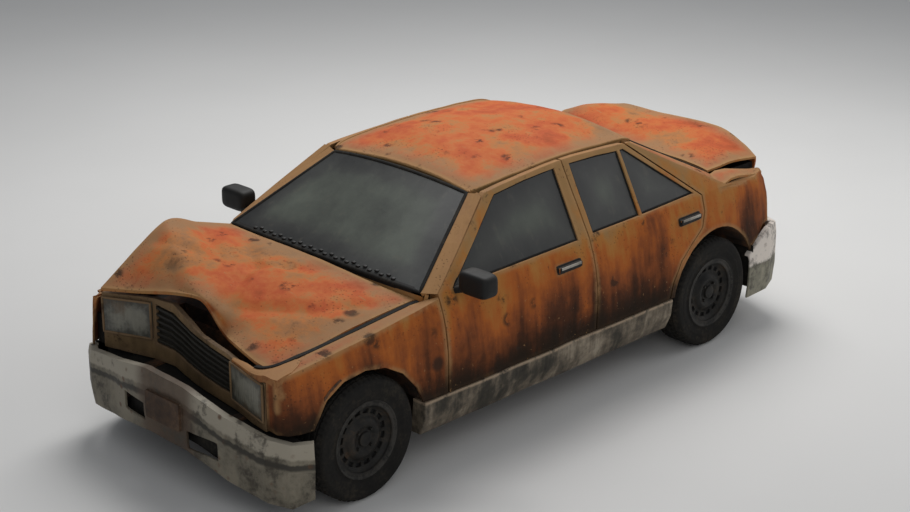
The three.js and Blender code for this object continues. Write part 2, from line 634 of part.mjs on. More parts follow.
// Tail
const TAIL = [[-690, 1948], [-460, 1985], [0, 2000], [460, 1985], [690, 1948]];
const TAIL_BOTTOM_Z = 480;
const TAIL_TOP_Z = 830;
const TAIL_LAMP = { x0: 430, x1: 636, z0: 612, z1: 792 };
function tailSheet(x0, x1, z0, z1, front, back, steps = 4, widths = [1, 1]) {
  const sheet = (depth) => (i, j) => {
    const x = mix(x0, x1, i / steps) * widths[j];
    return [x, look(TAIL, x) + depth, mix(z0, z1, j)];
  };
  return slab(steps, 1, sheet(front), sheet(back));
}
const TAIL_HALF_WIDTHS = [728, 650]; // at the bottom and at the top
const TAIL_SKIN = 16;
const lampHole = (s) => tailSheet(s * TAIL_LAMP.x0, s * TAIL_LAMP.x1, TAIL_LAMP.z0, TAIL_LAMP.z1, 80, -80, 2);
const tailPanel = tailSheet(-1, 1, TAIL_BOTTOM_Z, TAIL_TOP_Z, 0, -TAIL_SKIN, 12, TAIL_HALF_WIDTHS);
node("tail_panel", tailPanel.subtract(lampHole(1)).subtract(lampHole(-1)), "rust");
for (const [side, s] of [["left", 1], ["right", -1]]) {
  const [x0, x1] = [s * (TAIL_LAMP.x0 + SEAT_GAP), s * (TAIL_LAMP.x1 - SEAT_GAP)];
  const [z0, z1] = [TAIL_LAMP.z0 + SEAT_GAP, TAIL_LAMP.z1 - SEAT_GAP];
  node("taillight_" + side, tailSheet(x0, x1, z0, z1, 6, -40, 2), "tail_glass");
}

// Welded frame: wheel houses, bulkheads, pillars and roof rails
const WHEEL_HOUSE_X = 425;
const REAR_HOUSE_X = 520;
const SHEET = 12;
const FRONT_LINER_RADIUS = FRONT_ARCH_RADIUS + LINER_GAP;
const REAR_LINER_RADIUS = REAR_ARCH_RADIUS + 4;
// Floor with its tunnel, raised boot floor and outriggers
const FLOOR = { z0: 232, z1: 250, x: 717.5, y0: -873.7, y1: 1000, tunnelX: 130, tunnelTop: 400 };
const SEAT_PAN_Y = 540;
const STEP_X = REAR_HOUSE_X - 24; // half width of the step up to the boot floor
const BOOT_FLOOR = { z0: 385, z1: 403, x: 499.7, y0: 985, y1: 1925 };
const floor = join(
  box([-FLOOR.x, FLOOR.y0, FLOOR.z0], [FLOOR.x, FLOOR.y1, FLOOR.z1]),
  box([-FLOOR.tunnelX, FLOOR.y0, FLOOR.z0 + 1], [FLOOR.tunnelX, FLOOR.y1, FLOOR.tunnelTop]),
  box([-FLOOR.x, SEAT_PAN_Y, FLOOR.z0 + 1], [FLOOR.x, SEAT_PAN_Y + 14, FLOOR.tunnelTop]),
  box([-FLOOR.x, SEAT_PAN_Y, FLOOR.tunnelTop - 14], [FLOOR.x, FLOOR.y1 - 50, FLOOR.tunnelTop]),
  box([-STEP_X, FLOOR.y1 - 60, FLOOR.tunnelTop - 14], [STEP_X, FLOOR.y1, FLOOR.tunnelTop]),
  box([-STEP_X, FLOOR.y1 - 16, FLOOR.z0 + 1], [STEP_X, FLOOR.y1, BOOT_FLOOR.z1]),
  box([-BOOT_FLOOR.x, BOOT_FLOOR.y0, BOOT_FLOOR.z0], [BOOT_FLOOR.x, BOOT_FLOOR.y1, BOOT_FLOOR.z1]),
).subtract(box([-FLOOR.tunnelX + 18, FLOOR.y0 - 1, 0], [FLOOR.tunnelX - 18, FLOOR.y1 - 30, FLOOR.tunnelTop - 18]));
node("floor_pan", floor, "chassis");

// Half ring over a wheel, from one height upwards.
function liner(radius, y, x0, x1, low) {
  const ring = rodX(radius + SHEET, x0, x1, y, TYRE_RADIUS, 32).subtract(
    rodX(radius, x0 - 1, x1 + 1, y, TYRE_RADIUS, 32),
  );
  return ring.subtract(box([x0 - 2, y - 600, -200], [x1 + 2, y + 600, low]));
}
function pillarA() {
  const [foot, head] = [[714.4, -868, 912], [497.4, -318, 1236]];
  const outer = (depth) => (i, j) => {
    const t = i / 4;
    const z = mix(905, 1250, t);
    const y = look(FRONT_DOOR_FRONT, z) - SHUT_GAP;
    const door = [sideX(y, z), y, z];
    const glass = [0, 1, 2].map((k) => mix(foot[k], head[k], t));
    const p = [0, 1, 2].map((k) => mix(door[k], glass[k], j / 2));
    return [p[0] - depth * (1 - 0.5 * j), p[1] + depth * 0.2 * j, p[2] - depth * 0.3 * j];
  };
  return slab(4, 2, outer(0), outer(38));
}
const BEAM_DEPTH = 30;
const PILLAR_B = { y0: 262, y1: 342, depth: 40, gap: 6 };
function pillarB() {
  const levels = [SILL_TOP_Z + SEAT_GAP, 560, 700, 820, 870, 905, 1080, 1250];
  const sheet = (depth) => (i, j) => {
    const z = levels[j];
    const y = mix(PILLAR_B.y0, PILLAR_B.y1, i);
    return [sideX(y, z) - look(DOOR_DEPTH, z) - PILLAR_B.gap - depth, y, z];
  };
  return slab(1, levels.length - 1, sheet(0), sheet(PILLAR_B.depth));
}
// Beam under the roof, from one row and column of its grid to another.
function roofBeam(row, rows, column, columns) {
  const sheet = (depth) => (i, j) => roofSheet(depth)(row + i, column + j);
  return slab(rows, columns, sheet(ROOF_SKIN + SEAT_GAP), sheet(ROOF_SKIN + BEAM_DEPTH));
}
const HINGE_LEVELS = [500, 740];
const HINGE_HEIGHT = 36;
const HINGE_POST = { x0: 700, x1: 762, y0: -874, z1: 862 };
const HOUSE_Y = [-1530, -880]; // front and rear end of the front wheel house
const CHASSIS_RAIL = { width: 62, y0: -1800, z0: 330 };
const APRON = { z0: 690, z1: 702, width: 80 };
const REAR_WALL = { y0: 1010, y1: 1700, z0: 390, z1: 700 };
function halfFrame() {
  const frontWall = box([WHEEL_HOUSE_X - SHEET, HOUSE_Y[0], CHASSIS_RAIL.z0], [WHEEL_HOUSE_X, HOUSE_Y[1], 700]);
  const chassisRail = box(
    [WHEEL_HOUSE_X - CHASSIS_RAIL.width, CHASSIS_RAIL.y0, CHASSIS_RAIL.z0],
    [WHEEL_HOUSE_X - 1, HOUSE_Y[1], NOSE_BOTTOM_Z - SEAT_GAP],
  );
  const houseCut = box([300, -1900, 300], [900, -1565, 900]);
  const frontHouse = liner(FRONT_LINER_RADIUS, FRONT_AXLE_Y, WHEEL_HOUSE_X - 1, 797.5, 410).subtract(houseCut);
  const fenders = join(fender(FENDER_WRAP.left, HOOD_EDGE.left), fender(FENDER_WRAP.right, HOOD_EDGE.right));
  const frontLiner = seated(frontHouse, fenders, [-SEAT_GAP, 0, -SEAT_GAP]);
  const apron = box(
    [WHEEL_HOUSE_X - SHEET, HOUSE_Y[0], APRON.z0],
    [WHEEL_HOUSE_X + APRON.width, HOUSE_Y[1], APRON.z1],
  );
  const rearWall = box(
    [REAR_HOUSE_X - SHEET - 8, REAR_WALL.y0, REAR_WALL.z0],
    [REAR_HOUSE_X - 2, REAR_WALL.y1, REAR_WALL.z1],
  );
  const rearHouse = liner(REAR_LINER_RADIUS, REAR_AXLE_Y, REAR_HOUSE_X - 12, 820, 490);
  const rearLiner = seated(rearHouse, quarterPanel, [-SEAT_GAP, 0, 0]);
  const hingePost = box(
    [HINGE_POST.x0, HINGE_POST.y0, SILL_TOP_Z + SEAT_GAP],
    [HINGE_POST.x1, DOOR_FRONT_Y - SHUT_GAP, HINGE_POST.z1],
  );
  const postTop = bar([724, -850, 846], [730, -838, 900], 13);
  const hinges = HINGE_LEVELS.flatMap((z) => [
    box([750, -830, z], [792, DOOR_FRONT_Y - SEAT_GAP, z + HINGE_HEIGHT]),
    box([738, PILLAR_B_Y - 3, z], [798, PILLAR_B_Y + SHUT_GAP / 2 - SEAT_GAP, z + HINGE_HEIGHT]),
  ]);
  const shelfSide = box([REAR_HOUSE_X - 20, 1004, 690], [REAR_HOUSE_X + 120, 1480, 702]);
  const pillarC = bar([492, 912, 1196], [585, 1450, 884], 20);
  return {
    front: join(frontWall, chassisRail, frontLiner, apron),
    cabin: join(pillarA(), pillarB(), hingePost, postTop, ...hinges),
    rear: join(rearWall, rearLiner, shelfSide, pillarC),
  };
}
const half = halfFrame();
const bothSides = (shape) => join(shape, mirrored(shape));
const FIREWALL = { x: 711, y0: -886, y1: -874, z1: 856 };
const firewall = box([-FIREWALL.x, FIREWALL.y0, FLOOR.z0], [FIREWALL.x, FIREWALL.y1, FIREWALL.z1]);
// Cowl under the foot of the windshield, bowed forwards in the middle
const COWL = { halfWidth: 712, bow: 24, bottomZ: 848 };
const cowlBow = (i) => COWL.bow * (1 - (i / 4 - 1) ** 2);
const cowl = slab(
  8, 1,
  (i, j) => [(i / 4 - 1) * COWL.halfWidth, mix(-870, -868, j) - cowlBow(i), mix(872, 896, j)],
  (i, j) => [(i / 4 - 1) * COWL.halfWidth, mix(-870, -790, j) - (1 - j) * cowlBow(i), COWL.bottomZ],
);
const seatWall = box([-660, 1002, 404], [660, 1014, 880]);
const shelf = box([-640, 1002, 872], [640, 1480, 886]);
const deckBar = box([-590, 1460, 872], [590, 1530, 915]);
const frontBar = box([-WHEEL_HOUSE_X, HOUSE_Y[0], 331], [WHEEL_HOUSE_X, -1512, APRON.z0]);
// Brackets that reach the hood, the trunk lid and the bumpers
const LID_LUG = { x: 440, half: 14, y0: 1533, y1: 1552 };
const lidLugs = [-1, 1].map((s) => seated(
  box([s * LID_LUG.x - LID_LUG.half, LID_LUG.y0, 900], [s * LID_LUG.x + LID_LUG.half, LID_LUG.y1, 962]),
  trunkLid, [0, 0, -LUG_GAP],
));
const lugFeet = [-1, 1].map((s) => (
  box([s * LID_LUG.x - LID_LUG.half, 1510, 890], [s * LID_LUG.x + LID_LUG.half, LID_LUG.y1, 912])
));
const HOOD_LUG = 15; // half width
const hoodLugs = [[-600, -934, -906, 911], [600, -930, -902, 872]].flatMap(([x, y0, y1, top]) => [
  seated(box([x - HOOD_LUG, y0, 840], [x + HOOD_LUG, y1, top]), hood, [0, 0, -SEAT_GAP]),
  box([x - HOOD_LUG, y0, 832], [x + HOOD_LUG, -880, 850]),
]);
const FRONT_STUB = { x: 392, half: 28 };
const REAR_STUB = { x: 490, half: 26, y0: 1600, y1: 2068 };
const bumperStubs = [[-1, -1864], [1, -1876]].map(([s, y]) => seated(
  box([s * FRONT_STUB.x - FRONT_STUB.half, y, 334], [s * FRONT_STUB.x + FRONT_STUB.half, -1780, 440]),
  frontBumper, [0, SEAT_GAP, 0],
));
const rearStubs = [-1, 1].map((s) => seated(
  box(
    [s * REAR_STUB.x - REAR_STUB.half, REAR_STUB.y0, BOOT_FLOOR.z1 + SEAT_GAP],
    [s * REAR_STUB.x + REAR_STUB.half, REAR_STUB.y1, TAIL_BOTTOM_Z - SEAT_GAP],
  ),
  rearBumper, [0, -SEAT_GAP, 0],
));
const noseStructure = join(bothSides(half.front), frontBar, ...bumperStubs);
const roofFrame = join(
  roofBeam(0, 1, 0, ROOF_COLUMNS), roofBeam(4, 1, 0, ROOF_COLUMNS),
  roofBeam(0, 5, 0, 1), roofBeam(0, 5, ROOF_COLUMNS - 1, 1),
);
const ahead = box([-900, -2000, 0], [900, FIREWALL.y0 - SEAT_GAP, 1000]);
node("frame_front", noseStructure.intersect(ahead), "chassis");
const cabinStructure = join(bothSides(half.cabin), firewall, cowl, ...hoodLugs, roofFrame);
node("frame_cabin", cabinStructure, "chassis");
const tailStructure = join(
  bothSides(half.rear), seatWall, shelf, deckBar, ...lidLugs, ...lugFeet, ...rearStubs,
);
const clearOfRoof = join(roofFrame, roofFrame.translate([0, 0, -SEAT_GAP]), roofFrame.translate([0, SEAT_GAP, 0]));
node("frame_rear", biggest(tailStructure.subtract(clearOfRoof)), "chassis");

// Cabin
const CUSHION = { x0: 130, x1: 620, z0: 250.3, z1: 455 };
function seat() {
  const cushion = slab(
    1, 1,
    (i, j) => [mix(CUSHION.x0 + 15, CUSHION.x1 - 15, i), mix(-330, 200, j), CUSHION.z1 + 10 - 35 * j],
    (i, j) => [mix(CUSHION.x0 + 35, CUSHION.x1 - 35, i), mix(-310, 200, j), CUSHION.z0],
  );
  const back = slab(
    1, 1,
    (i, j) => [mix(CUSHION.x0 + 15 + 20 * j, CUSHION.x1 - 15 - 20 * j, i), mix(90, 250, j), mix(380, 980, j)],
    (i, j) => [mix(CUSHION.x0 + 15 + 20 * j, CUSHION.x1 - 15 - 20 * j, i), mix(215, 335, j), mix(380, 985, j)],
  );
  const rest = box([260, 252, 960], [490, 320, 1110]);
  return join(cushion, back, rest);
}
const SEAT_ANCHOR_Y = 0;
node("seat_front_left", seat(), "cloth", SEAT_ANCHOR_Y);
node("seat_front_right", mirrored(seat()), "cloth", SEAT_ANCHOR_Y);
const benchCushion = slab(
  1, 1,
  (i, j) => [mix(-600, 600, i), mix(500, 930, j), 500 - 30 * j],
  (i, j) => [mix(-590, 590, i), mix(530, 930, j), FLOOR.tunnelTop + SEAT_GAP],
);
const benchBack = slab(
  1, 1,
  (i, j) => [mix(-500, 500, i), mix(850, 960, j), mix(402, 930, j)],
  (i, j) => [mix(-500, 500, i), mix(975, 1001, j), mix(402, 930, j)],
);
node("seat_rear", join(benchCushion, benchBack), "cloth", FLOOR.y1);
const WHEEL_CENTRE = [370, -430, 790];
function dashboard() {
  const outline = [
    [-850, 640], [-850, 838], [-790, 846], [-760, 852], [-620, 838], [-560, 790], [-570, 700], [-640, 640],
  ];
  const console = box([-110, -800, FLOOR.tunnelTop + SEAT_GAP], [110, -560, 700]);
  return join(prismX(outline, -660, 660), console);
}
node("dashboard", dashboard(), "black_plastic", FLOOR.y0);
const WHEEL_TILT = -1.13;
const SPOKE = { length: 172, radius: 11 };
function steeringWheel() {
  const [x, y, z] = WHEEL_CENTRE;
  const ring = new THREE.TorusGeometry(178, 14, 6, 20);
  ring.rotateX(WHEEL_TILT);
  ring.translate(x, y, z);
  const spokes = [-1, 1].map((s) => bar([x, y, z], [x + s * SPOKE.length, y, z], SPOKE.radius));
  const foot = [x, y - SPOKE.length * Math.cos(WHEEL_TILT), z + SPOKE.length * Math.sin(WHEEL_TILT)];
  const low = bar([x, y, z], foot, SPOKE.radius);
  const column = bar([x, y + 6, z + 3], [x, y - 124, z - 58], 22, 8);
  return join(solid(ring), ...spokes, low, column);
}
node("steering_wheel", steeringWheel(), "black_plastic", FLOOR.y0);

// Engine with its gearbox, as one block
const ENGINE = { x0: -330, x1: 330, y0: -1490, y1: -1090, z0: 262.3, z1: 745 };
node("engine", box([ENGINE.x0, ENGINE.y0, ENGINE.z0], [ENGINE.x1, ENGINE.y1, ENGINE.z1]), "chassis");

// Front suspension. The steering axis leans from the ball joint on the arm to the top of the strut.
const STEER_FOOT_X = 700; // where the steering axis meets the ground
const STEER_LEAN = 0.2; // inward run of the steering axis for each unit of height
const steerX = (z) => STEER_FOOT_X - STEER_LEAN * z;
const ARM_Z = 205;
const ARM_RADIUS = 17;
const BALL_TOP_Z = ARM_Z + ARM_RADIUS + 12;
const KNUCKLE_FOOT_Z = BALL_TOP_Z + SEAT_GAP;
function frontArm() {
  const ball = [steerX(ARM_Z), FRONT_AXLE_Y, ARM_Z];
  return join(
    bar([330, FRONT_AXLE_Y - 150, 235], ball, ARM_RADIUS, 6),
    bar([330, FRONT_AXLE_Y + 190, 235], ball, ARM_RADIUS, 6),
    bar([steerX(ARM_Z - 8), FRONT_AXLE_Y, ARM_Z - 8], [steerX(BALL_TOP_Z), FRONT_AXLE_Y, BALL_TOP_Z], 24, 12),
  );
}
// The square frame that carries the engine and the arms, with posts up to the chassis rails.
const CRADLE = { x: 380, beam: 80, y0: -190, y1: 150, z0: 215, z1: 262 };
const CRADLE_POST = { x0: 340, x1: 400, length: 80, y0: -180, y1: 120, z0: 250 };
const postTopZ = CHASSIS_RAIL.z0 - SEAT_GAP;
const crossmember = join(
  ...[CRADLE.y0, CRADLE.y1].map((y) => (
    box([-CRADLE.x, FRONT_AXLE_Y + y, CRADLE.z0], [CRADLE.x, FRONT_AXLE_Y + y + CRADLE.beam, CRADLE.z1])
  )),
  ...[-CRADLE.x, CRADLE.x - CRADLE.beam].map((x) => box(
    [x, FRONT_AXLE_Y + CRADLE.y0, CRADLE.z0 + 1],
    [x + CRADLE.beam, FRONT_AXLE_Y + CRADLE.y1 + CRADLE.beam, CRADLE.z1 - 1],
  )),
  ...[CRADLE_POST.y1, CRADLE_POST.y0].flatMap((y) => (
    [[CRADLE_POST.x0, CRADLE_POST.x1], [-CRADLE_POST.x1, -CRADLE_POST.x0]].map(([x0, x1]) => box(
      [x0, FRONT_AXLE_Y + y, CRADLE_POST.z0], [x1, FRONT_AXLE_Y + y + CRADLE_POST.length, postTopZ],
    ))
  )),
);
node("subframe_front", join(crossmember, frontArm(), mirrored(frontArm())), "chassis");

const STRUT = { radius: 24, z0: 300, z1: 676 };
const STUB_RADIUS = 28;
const HUB_FACE_X = 742; // where the wheel sits on its hub
function knuckle() {
  const strut = bar(
    [steerX(STRUT.z0), FRONT_AXLE_Y, STRUT.z0],
    [steerX(STRUT.z1), FRONT_AXLE_Y, STRUT.z1],
    STRUT.radius, 12,
  );
  const carrier = bar(
    [steerX(KNUCKLE_FOOT_Z), FRONT_AXLE_Y, KNUCKLE_FOOT_Z],
    [steerX(390), FRONT_AXLE_Y, 390],
    30, 8,
  );
  const stub = rodX(STUB_RADIUS, 630, HUB_FACE_X, FRONT_AXLE_Y, TYRE_RADIUS, 12);
  return join(strut, carrier, stub);
}

// Rear axle
const AXLE_TUBE = 30;
function rearHalfAxle() {
  return join(
    rodX(AXLE_TUBE, -10, 640, REAR_AXLE_Y, TYRE_RADIUS, 12),
    rodX(STUB_RADIUS, 600, HUB_FACE_X, REAR_AXLE_Y, TYRE_RADIUS, 12),
    bar([470, REAR_AXLE_Y, TYRE_RADIUS], [470, 1030, 290], 24, 6),
    bar([470, REAR_AXLE_Y + 45, TYRE_RADIUS - 15], [470, REAR_AXLE_Y + 45, BOOT_FLOOR.z0 - SEAT_GAP], 26, 10),
  );
}
node("axle_rear", join(rearHalfAxle(), mirrored(rearHalfAxle())), "chassis");

// Exhaust
const PIPE = 22;
const SILENCER = [[150, 1660, 240], [480, 1850, 368]];
const EXHAUST_LINE = [
  [60, -1076, 300], [60, -930, 205], [60, 760, 205], [230, 1020, 205], [230, 1560, 250], [380, 1700, 300],
];
node(
  "exhaust",
  join(
    ...EXHAUST_LINE.slice(1).map((to, i) => bar(EXHAUST_LINE[i], to, PIPE, 6)),
    box(...SILENCER),
    box([290, 1740, 360], [330, 1770, BOOT_FLOOR.z0 - SEAT_GAP]),
    bar([440, 1840, 290], [470, 2030, 260], PIPE, 8),
  ),
  "chassis",
);

// Wheels. The rim's profile and the tyre's are turned about the axle. Columns: radius, x from the middle.
const FLANGE_RADIUS = RIM_RADIUS + 7;
const BARREL_RADIUS = RIM_RADIUS - 16; // inside of the rim
const RIM_PROFILE = [
  [0, -6], [70, -6], [BARREL_RADIUS - 26, 40], [BARREL_RADIUS, 48], [BARREL_RADIUS, -80],
  [FLANGE_RADIUS, -86], [FLANGE_RADIUS, -80], [RIM_RADIUS, -79], [RIM_RADIUS, 79], [FLANGE_RADIUS, 80],
  [FLANGE_RADIUS, 88], [BARREL_RADIUS - 4, 86], [BARREL_RADIUS - 24, 66], [BARREL_RADIUS - 56, 60],
  [66, 72], [40, 66], [38, 80], [0, 82],
];
const TYRE_PROFILE = [
  [RIM_RADIUS + SEAT_GAP, -78], [RIM_RADIUS + 48, -90], [TYRE_RADIUS - 25, -TYRE_WIDTH / 2],
  [TYRE_RADIUS - 7, -76], [TYRE_RADIUS, -50], [TYRE_RADIUS, 50], [TYRE_RADIUS - 7, 76],
  [TYRE_RADIUS - 25, TYRE_WIDTH / 2], [RIM_RADIUS + 48, 90], [RIM_RADIUS + SEAT_GAP, 78],
  [RIM_RADIUS + SEAT_GAP, -78],
];
function turned(profile, x, y, segments) {
  const points = profile.map(([radius, offset]) => new THREE.Vector2(radius, offset));
  const geometry = new THREE.LatheGeometry(points, segments);
  geometry.rotateZ(-Math.PI / 2);
  geometry.translate(x, y, TYRE_RADIUS);
  return solid(geometry);
}
const WHEEL_SEGMENTS = 24;
for (const [side, turn] of [["left", (s) => s], ["right", mirrored]]) {
  node("knuckle_" + side, turn(knuckle()), "chassis");
  for (const [end, y] of [["front", FRONT_AXLE_Y], ["rear", REAR_AXLE_Y]]) {
    const hole = rodX(STUB_RADIUS + SEAT_GAP, 600, HUB_FACE_X + SEAT_GAP, y, TYRE_RADIUS, 12);
    node(`tyre_${end}_${side}`, turn(turned(TYRE_PROFILE, WHEEL_X, y, WHEEL_SEGMENTS)), "tyre");
    node(`rim_${end}_${side}`, turn(turned(RIM_PROFILE, WHEEL_X, y, WHEEL_SEGMENTS).subtract(hole)), "rim");
  }
}

export default car;
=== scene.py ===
"""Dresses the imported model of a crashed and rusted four-door saloon.

Every length is in metres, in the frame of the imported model: +Z up, the nose towards -Y and the
car's left towards +X. Places given as drawn are moved along Y by SHIFT_Y into that frame.
"""

import json
import logging
import math
from dataclasses import dataclass, field
from enum import Enum
from typing import Iterable, Protocol, Sequence

import bmesh
import bpy
import numpy as np
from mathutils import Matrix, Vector

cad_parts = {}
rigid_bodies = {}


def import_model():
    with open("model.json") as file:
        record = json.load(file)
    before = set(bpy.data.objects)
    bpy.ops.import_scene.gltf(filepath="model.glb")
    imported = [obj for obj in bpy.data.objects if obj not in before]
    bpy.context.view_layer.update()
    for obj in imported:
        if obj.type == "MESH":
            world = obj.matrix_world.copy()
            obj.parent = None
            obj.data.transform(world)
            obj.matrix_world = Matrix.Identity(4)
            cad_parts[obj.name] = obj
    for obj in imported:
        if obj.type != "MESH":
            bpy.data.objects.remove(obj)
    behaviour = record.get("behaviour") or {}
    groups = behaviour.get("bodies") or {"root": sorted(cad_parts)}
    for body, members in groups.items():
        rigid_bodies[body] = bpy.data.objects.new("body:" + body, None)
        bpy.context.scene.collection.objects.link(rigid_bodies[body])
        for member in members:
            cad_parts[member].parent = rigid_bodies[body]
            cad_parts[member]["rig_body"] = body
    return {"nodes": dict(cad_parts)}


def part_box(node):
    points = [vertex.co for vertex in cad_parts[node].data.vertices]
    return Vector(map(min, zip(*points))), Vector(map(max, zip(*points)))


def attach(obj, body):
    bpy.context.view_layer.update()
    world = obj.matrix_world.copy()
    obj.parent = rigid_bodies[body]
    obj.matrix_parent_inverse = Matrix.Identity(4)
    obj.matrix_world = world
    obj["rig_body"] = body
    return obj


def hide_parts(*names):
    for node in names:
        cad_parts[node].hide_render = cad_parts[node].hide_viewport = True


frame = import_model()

LOG = logging.getLogger("wreck")
Array = np.ndarray
Colour = tuple[float, float, float]
Place = tuple[float, float, float]
Part = tuple[Array, list]

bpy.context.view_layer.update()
FRONT_AXLE_DRAWN_Y = -1.320
UP = np.array([0.0, 0.0, 1.0])


def corners_of(node: str) -> Array:
    """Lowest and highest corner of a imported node's box."""
    return np.array(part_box(node))


def middle(node: str) -> Array:
    """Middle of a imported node's box."""
    return corners_of(node).sum(0) / 2


SHIFT_Y = float(middle("tyre_front_left")[1]) - FRONT_AXLE_DRAWN_Y


class Side(Enum):
    """Side of the car, with the sign of its X."""

    LEFT = 1
    RIGHT = -1

    @property
    def word(self) -> str:
        """Word for the side in the names of nodes."""
        return self.name.lower()


class Facing(Enum):
    """Way that a panel looks, with the axis that its dents go along."""

    SIDE = 0
    END = 1
    TOP = 2


class Slot(Enum):
    """Material slots of the record."""

    RUST = "rust"
    DARK = "rust_dark"
    PALE = "trim_pale"
    PLASTIC = "black_plastic"
    RIM = "rim"
    TYRE = "tyre"
    GLASS = "glass"
    LAMP = "lamp_glass"
    TAIL = "tail_glass"
    CLOTH = "cloth"


def drawn(points: Sequence | Array) -> Array:
    """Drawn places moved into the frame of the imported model."""
    return np.asarray(points, float) + np.array([0.0, SHIFT_Y, 0.0])


# Meshes


def quads(rows: int, columns: int, ring_rows: bool = False, ring_columns: bool = False) -> Array:
    """Faces of a grid whose points are numbered row by row.

    Args:
        rows: Number of rows of points.
        columns: Number of points in a row.
        ring_rows: Whether the last row joins the first.
        ring_columns: Whether the last column joins the first.

    Returns:
        One row of four point numbers for each face.
    """
    i, j = np.meshgrid(
        np.arange(rows - (not ring_rows)), np.arange(columns - (not ring_columns)), indexing="ij"
    )
    down, right = (i + 1) % rows, (j + 1) % columns
    corners = [i * columns + j, down * columns + j, down * columns + right, i * columns + right]
    return np.stack(corners, -1).reshape(-1, 4)


def merged(parts: Iterable[Part]) -> Part:
    """Several meshes as one list of points and one of faces.

    Args:
        parts: Points and faces of each mesh.

    Returns:
        The points of all, and their faces numbered on.
    """
    points, faces, count = [], [], 0
    for part_points, part_faces in parts:
        points.append(part_points)
        faces.extend([[k + count for k in face] for face in part_faces])
        count += len(part_points)
    return np.concatenate(points), faces


def shell(outer: Array, inner: Array) -> Part:
    """Closed sheet between two grids of points, joined round their edges.

    Args:
        outer: Points of one face, rows by columns by 3.
        inner: Points of the other face in the same order.

    Returns:
        Points and faces.
    """
    rows, columns = outer.shape[:2]
    count = rows * columns
    skin = quads(rows, columns)
    edge = np.concatenate([
        np.arange(columns),
        np.arange(1, rows) * columns + columns - 1,
        (rows - 1) * columns + np.arange(columns - 2, -1, -1),
        np.arange(rows - 2, 0, -1) * columns,
    ])
    after = np.roll(edge, -1)
    rim = np.stack([edge, after, after + count, edge + count], 1)
    faces = [*skin.tolist(), *(skin[:, ::-1] + count).tolist(), *rim.tolist()]
    return np.concatenate([outer.reshape(-1, 3), inner.reshape(-1, 3)]), faces


def swept(path: Array, up: Array, section: Array, closed: bool = False) -> Part:
    """A section carried along a path: each of its points keeps its run sideways and upwards.

    Args:
        path: Points of the path.
        up: Upward direction, one for all points or one for each.
        section: Sideways and upward run of each corner of the section.
        closed: Whether the path ends where it starts.

    Returns:
        Points and faces, closed by a cap at each end of an open path.
    """
    ahead = np.roll(path, -1, 0) - np.roll(path, 1, 0) if closed else np.gradient(path, axis=0)
    ahead /= np.linalg.norm(ahead, axis=1, keepdims=True)
    across = np.cross(ahead, np.broadcast_to(up, path.shape))
    across /= np.linalg.norm(across, axis=1, keepdims=True)
    rise = np.cross(across, ahead)
    points = (
        path[:, None]
        + across[:, None] * section[None, :, :1]
        + rise[:, None] * section[None, :, 1:]
    )
    count = len(section)
    faces = quads(len(path), count, closed, True).tolist()
    if not closed:
        faces += [list(range(count))[::-1], [(len(path) - 1) * count + k for k in range(count)]]
    return points.reshape(-1, 3), faces


def turned(radius: Array, run: Array, steps: int, centre: Array, side: Side) -> Part:
    """A profile turned about the X axis through a centre, alike or changing from step to step.

    Args:
        radius: Distance of each point from the axis, one row for all steps or one for each.
        run: Run of each point outwards along X, in the same way.
        steps: Number of steps round.
        centre: Point on the axis.
        side: Side of the car, for the way outwards.

    Returns:
        Points and faces of the profile, closed on itself.
    """
    turn = np.linspace(0, 2 * np.pi, steps, endpoint=False)[:, None]
    points = np.stack([
        centre[0] + side.value * run + 0 * turn,
        centre[1] + radius * np.sin(turn),
        centre[2] + radius * np.cos(turn),
    ], -1)
    return points.reshape(-1, 3), quads(steps, points.shape[1], True, True).tolist()


def rounded(width: float, height: float, corner: float, steps: int = 4) -> Array:
    """Outline of a rounded rectangle about its middle, each corner a quarter of a circle.

    Args:
        width: Whole width.
        height: Whole height.
        corner: Radius of the corners.
        steps: Points on each corner.

    Returns:
        Sideways and upward run of each point.
    """
    turn = np.linspace(0, np.pi / 2, steps)
    arc = corner * np.stack([np.cos(turn), np.sin(turn)], 1)
    places = []
    for k, (a, b) in enumerate([(1, 1), (-1, 1), (-1, -1), (1, -1)]):
        quarter = arc @ np.linalg.matrix_power(np.array([[0, 1], [-1, 0]]), k)
        places.append(quarter + [a * (width / 2 - corner), b * (height / 2 - corner)])
    return np.concatenate(places)


def ring(radius: float, steps: int = 10) -> Array:
    """Outline of a circle about its middle."""
    turn = np.linspace(0, 2 * np.pi, steps, endpoint=False)
    return radius * np.stack([np.cos(turn), np.sin(turn)], 1)


def rectangle(width: float, height: float) -> Array:
    """Outline of a rectangle about its middle."""
    return np.array([(-1, -1), (1, -1), (1, 1), (-1, 1)]) * [width / 2, height / 2]


def globe(half: Array, power: float, steps: int) -> Part:
    """A globe drawn out towards a box by raising its sines and cosines to a power below 1.

    Args:
        half: Half of the size along each axis.
        power: The power, lower for squarer corners.
        steps: Points from pole to pole, and half of those round.

    Returns:
        Points about the middle, and faces.
    """
    u = np.linspace(-np.pi, np.pi, 2 * steps, endpoint=False)[:, None]
    v = np.linspace(-np.pi / 2, np.pi / 2, steps)[None]
    flat, out, level, rise = (
        np.sign(t) * np.abs(t) ** power for t in (np.cos(u), np.sin(u), np.cos(v), np.sin(v))
    )
    points = np.stack([level * flat, level * out, rise + 0 * u], -1) * half
    return points.reshape(-1, 3), quads(2 * steps, steps, True).tolist()


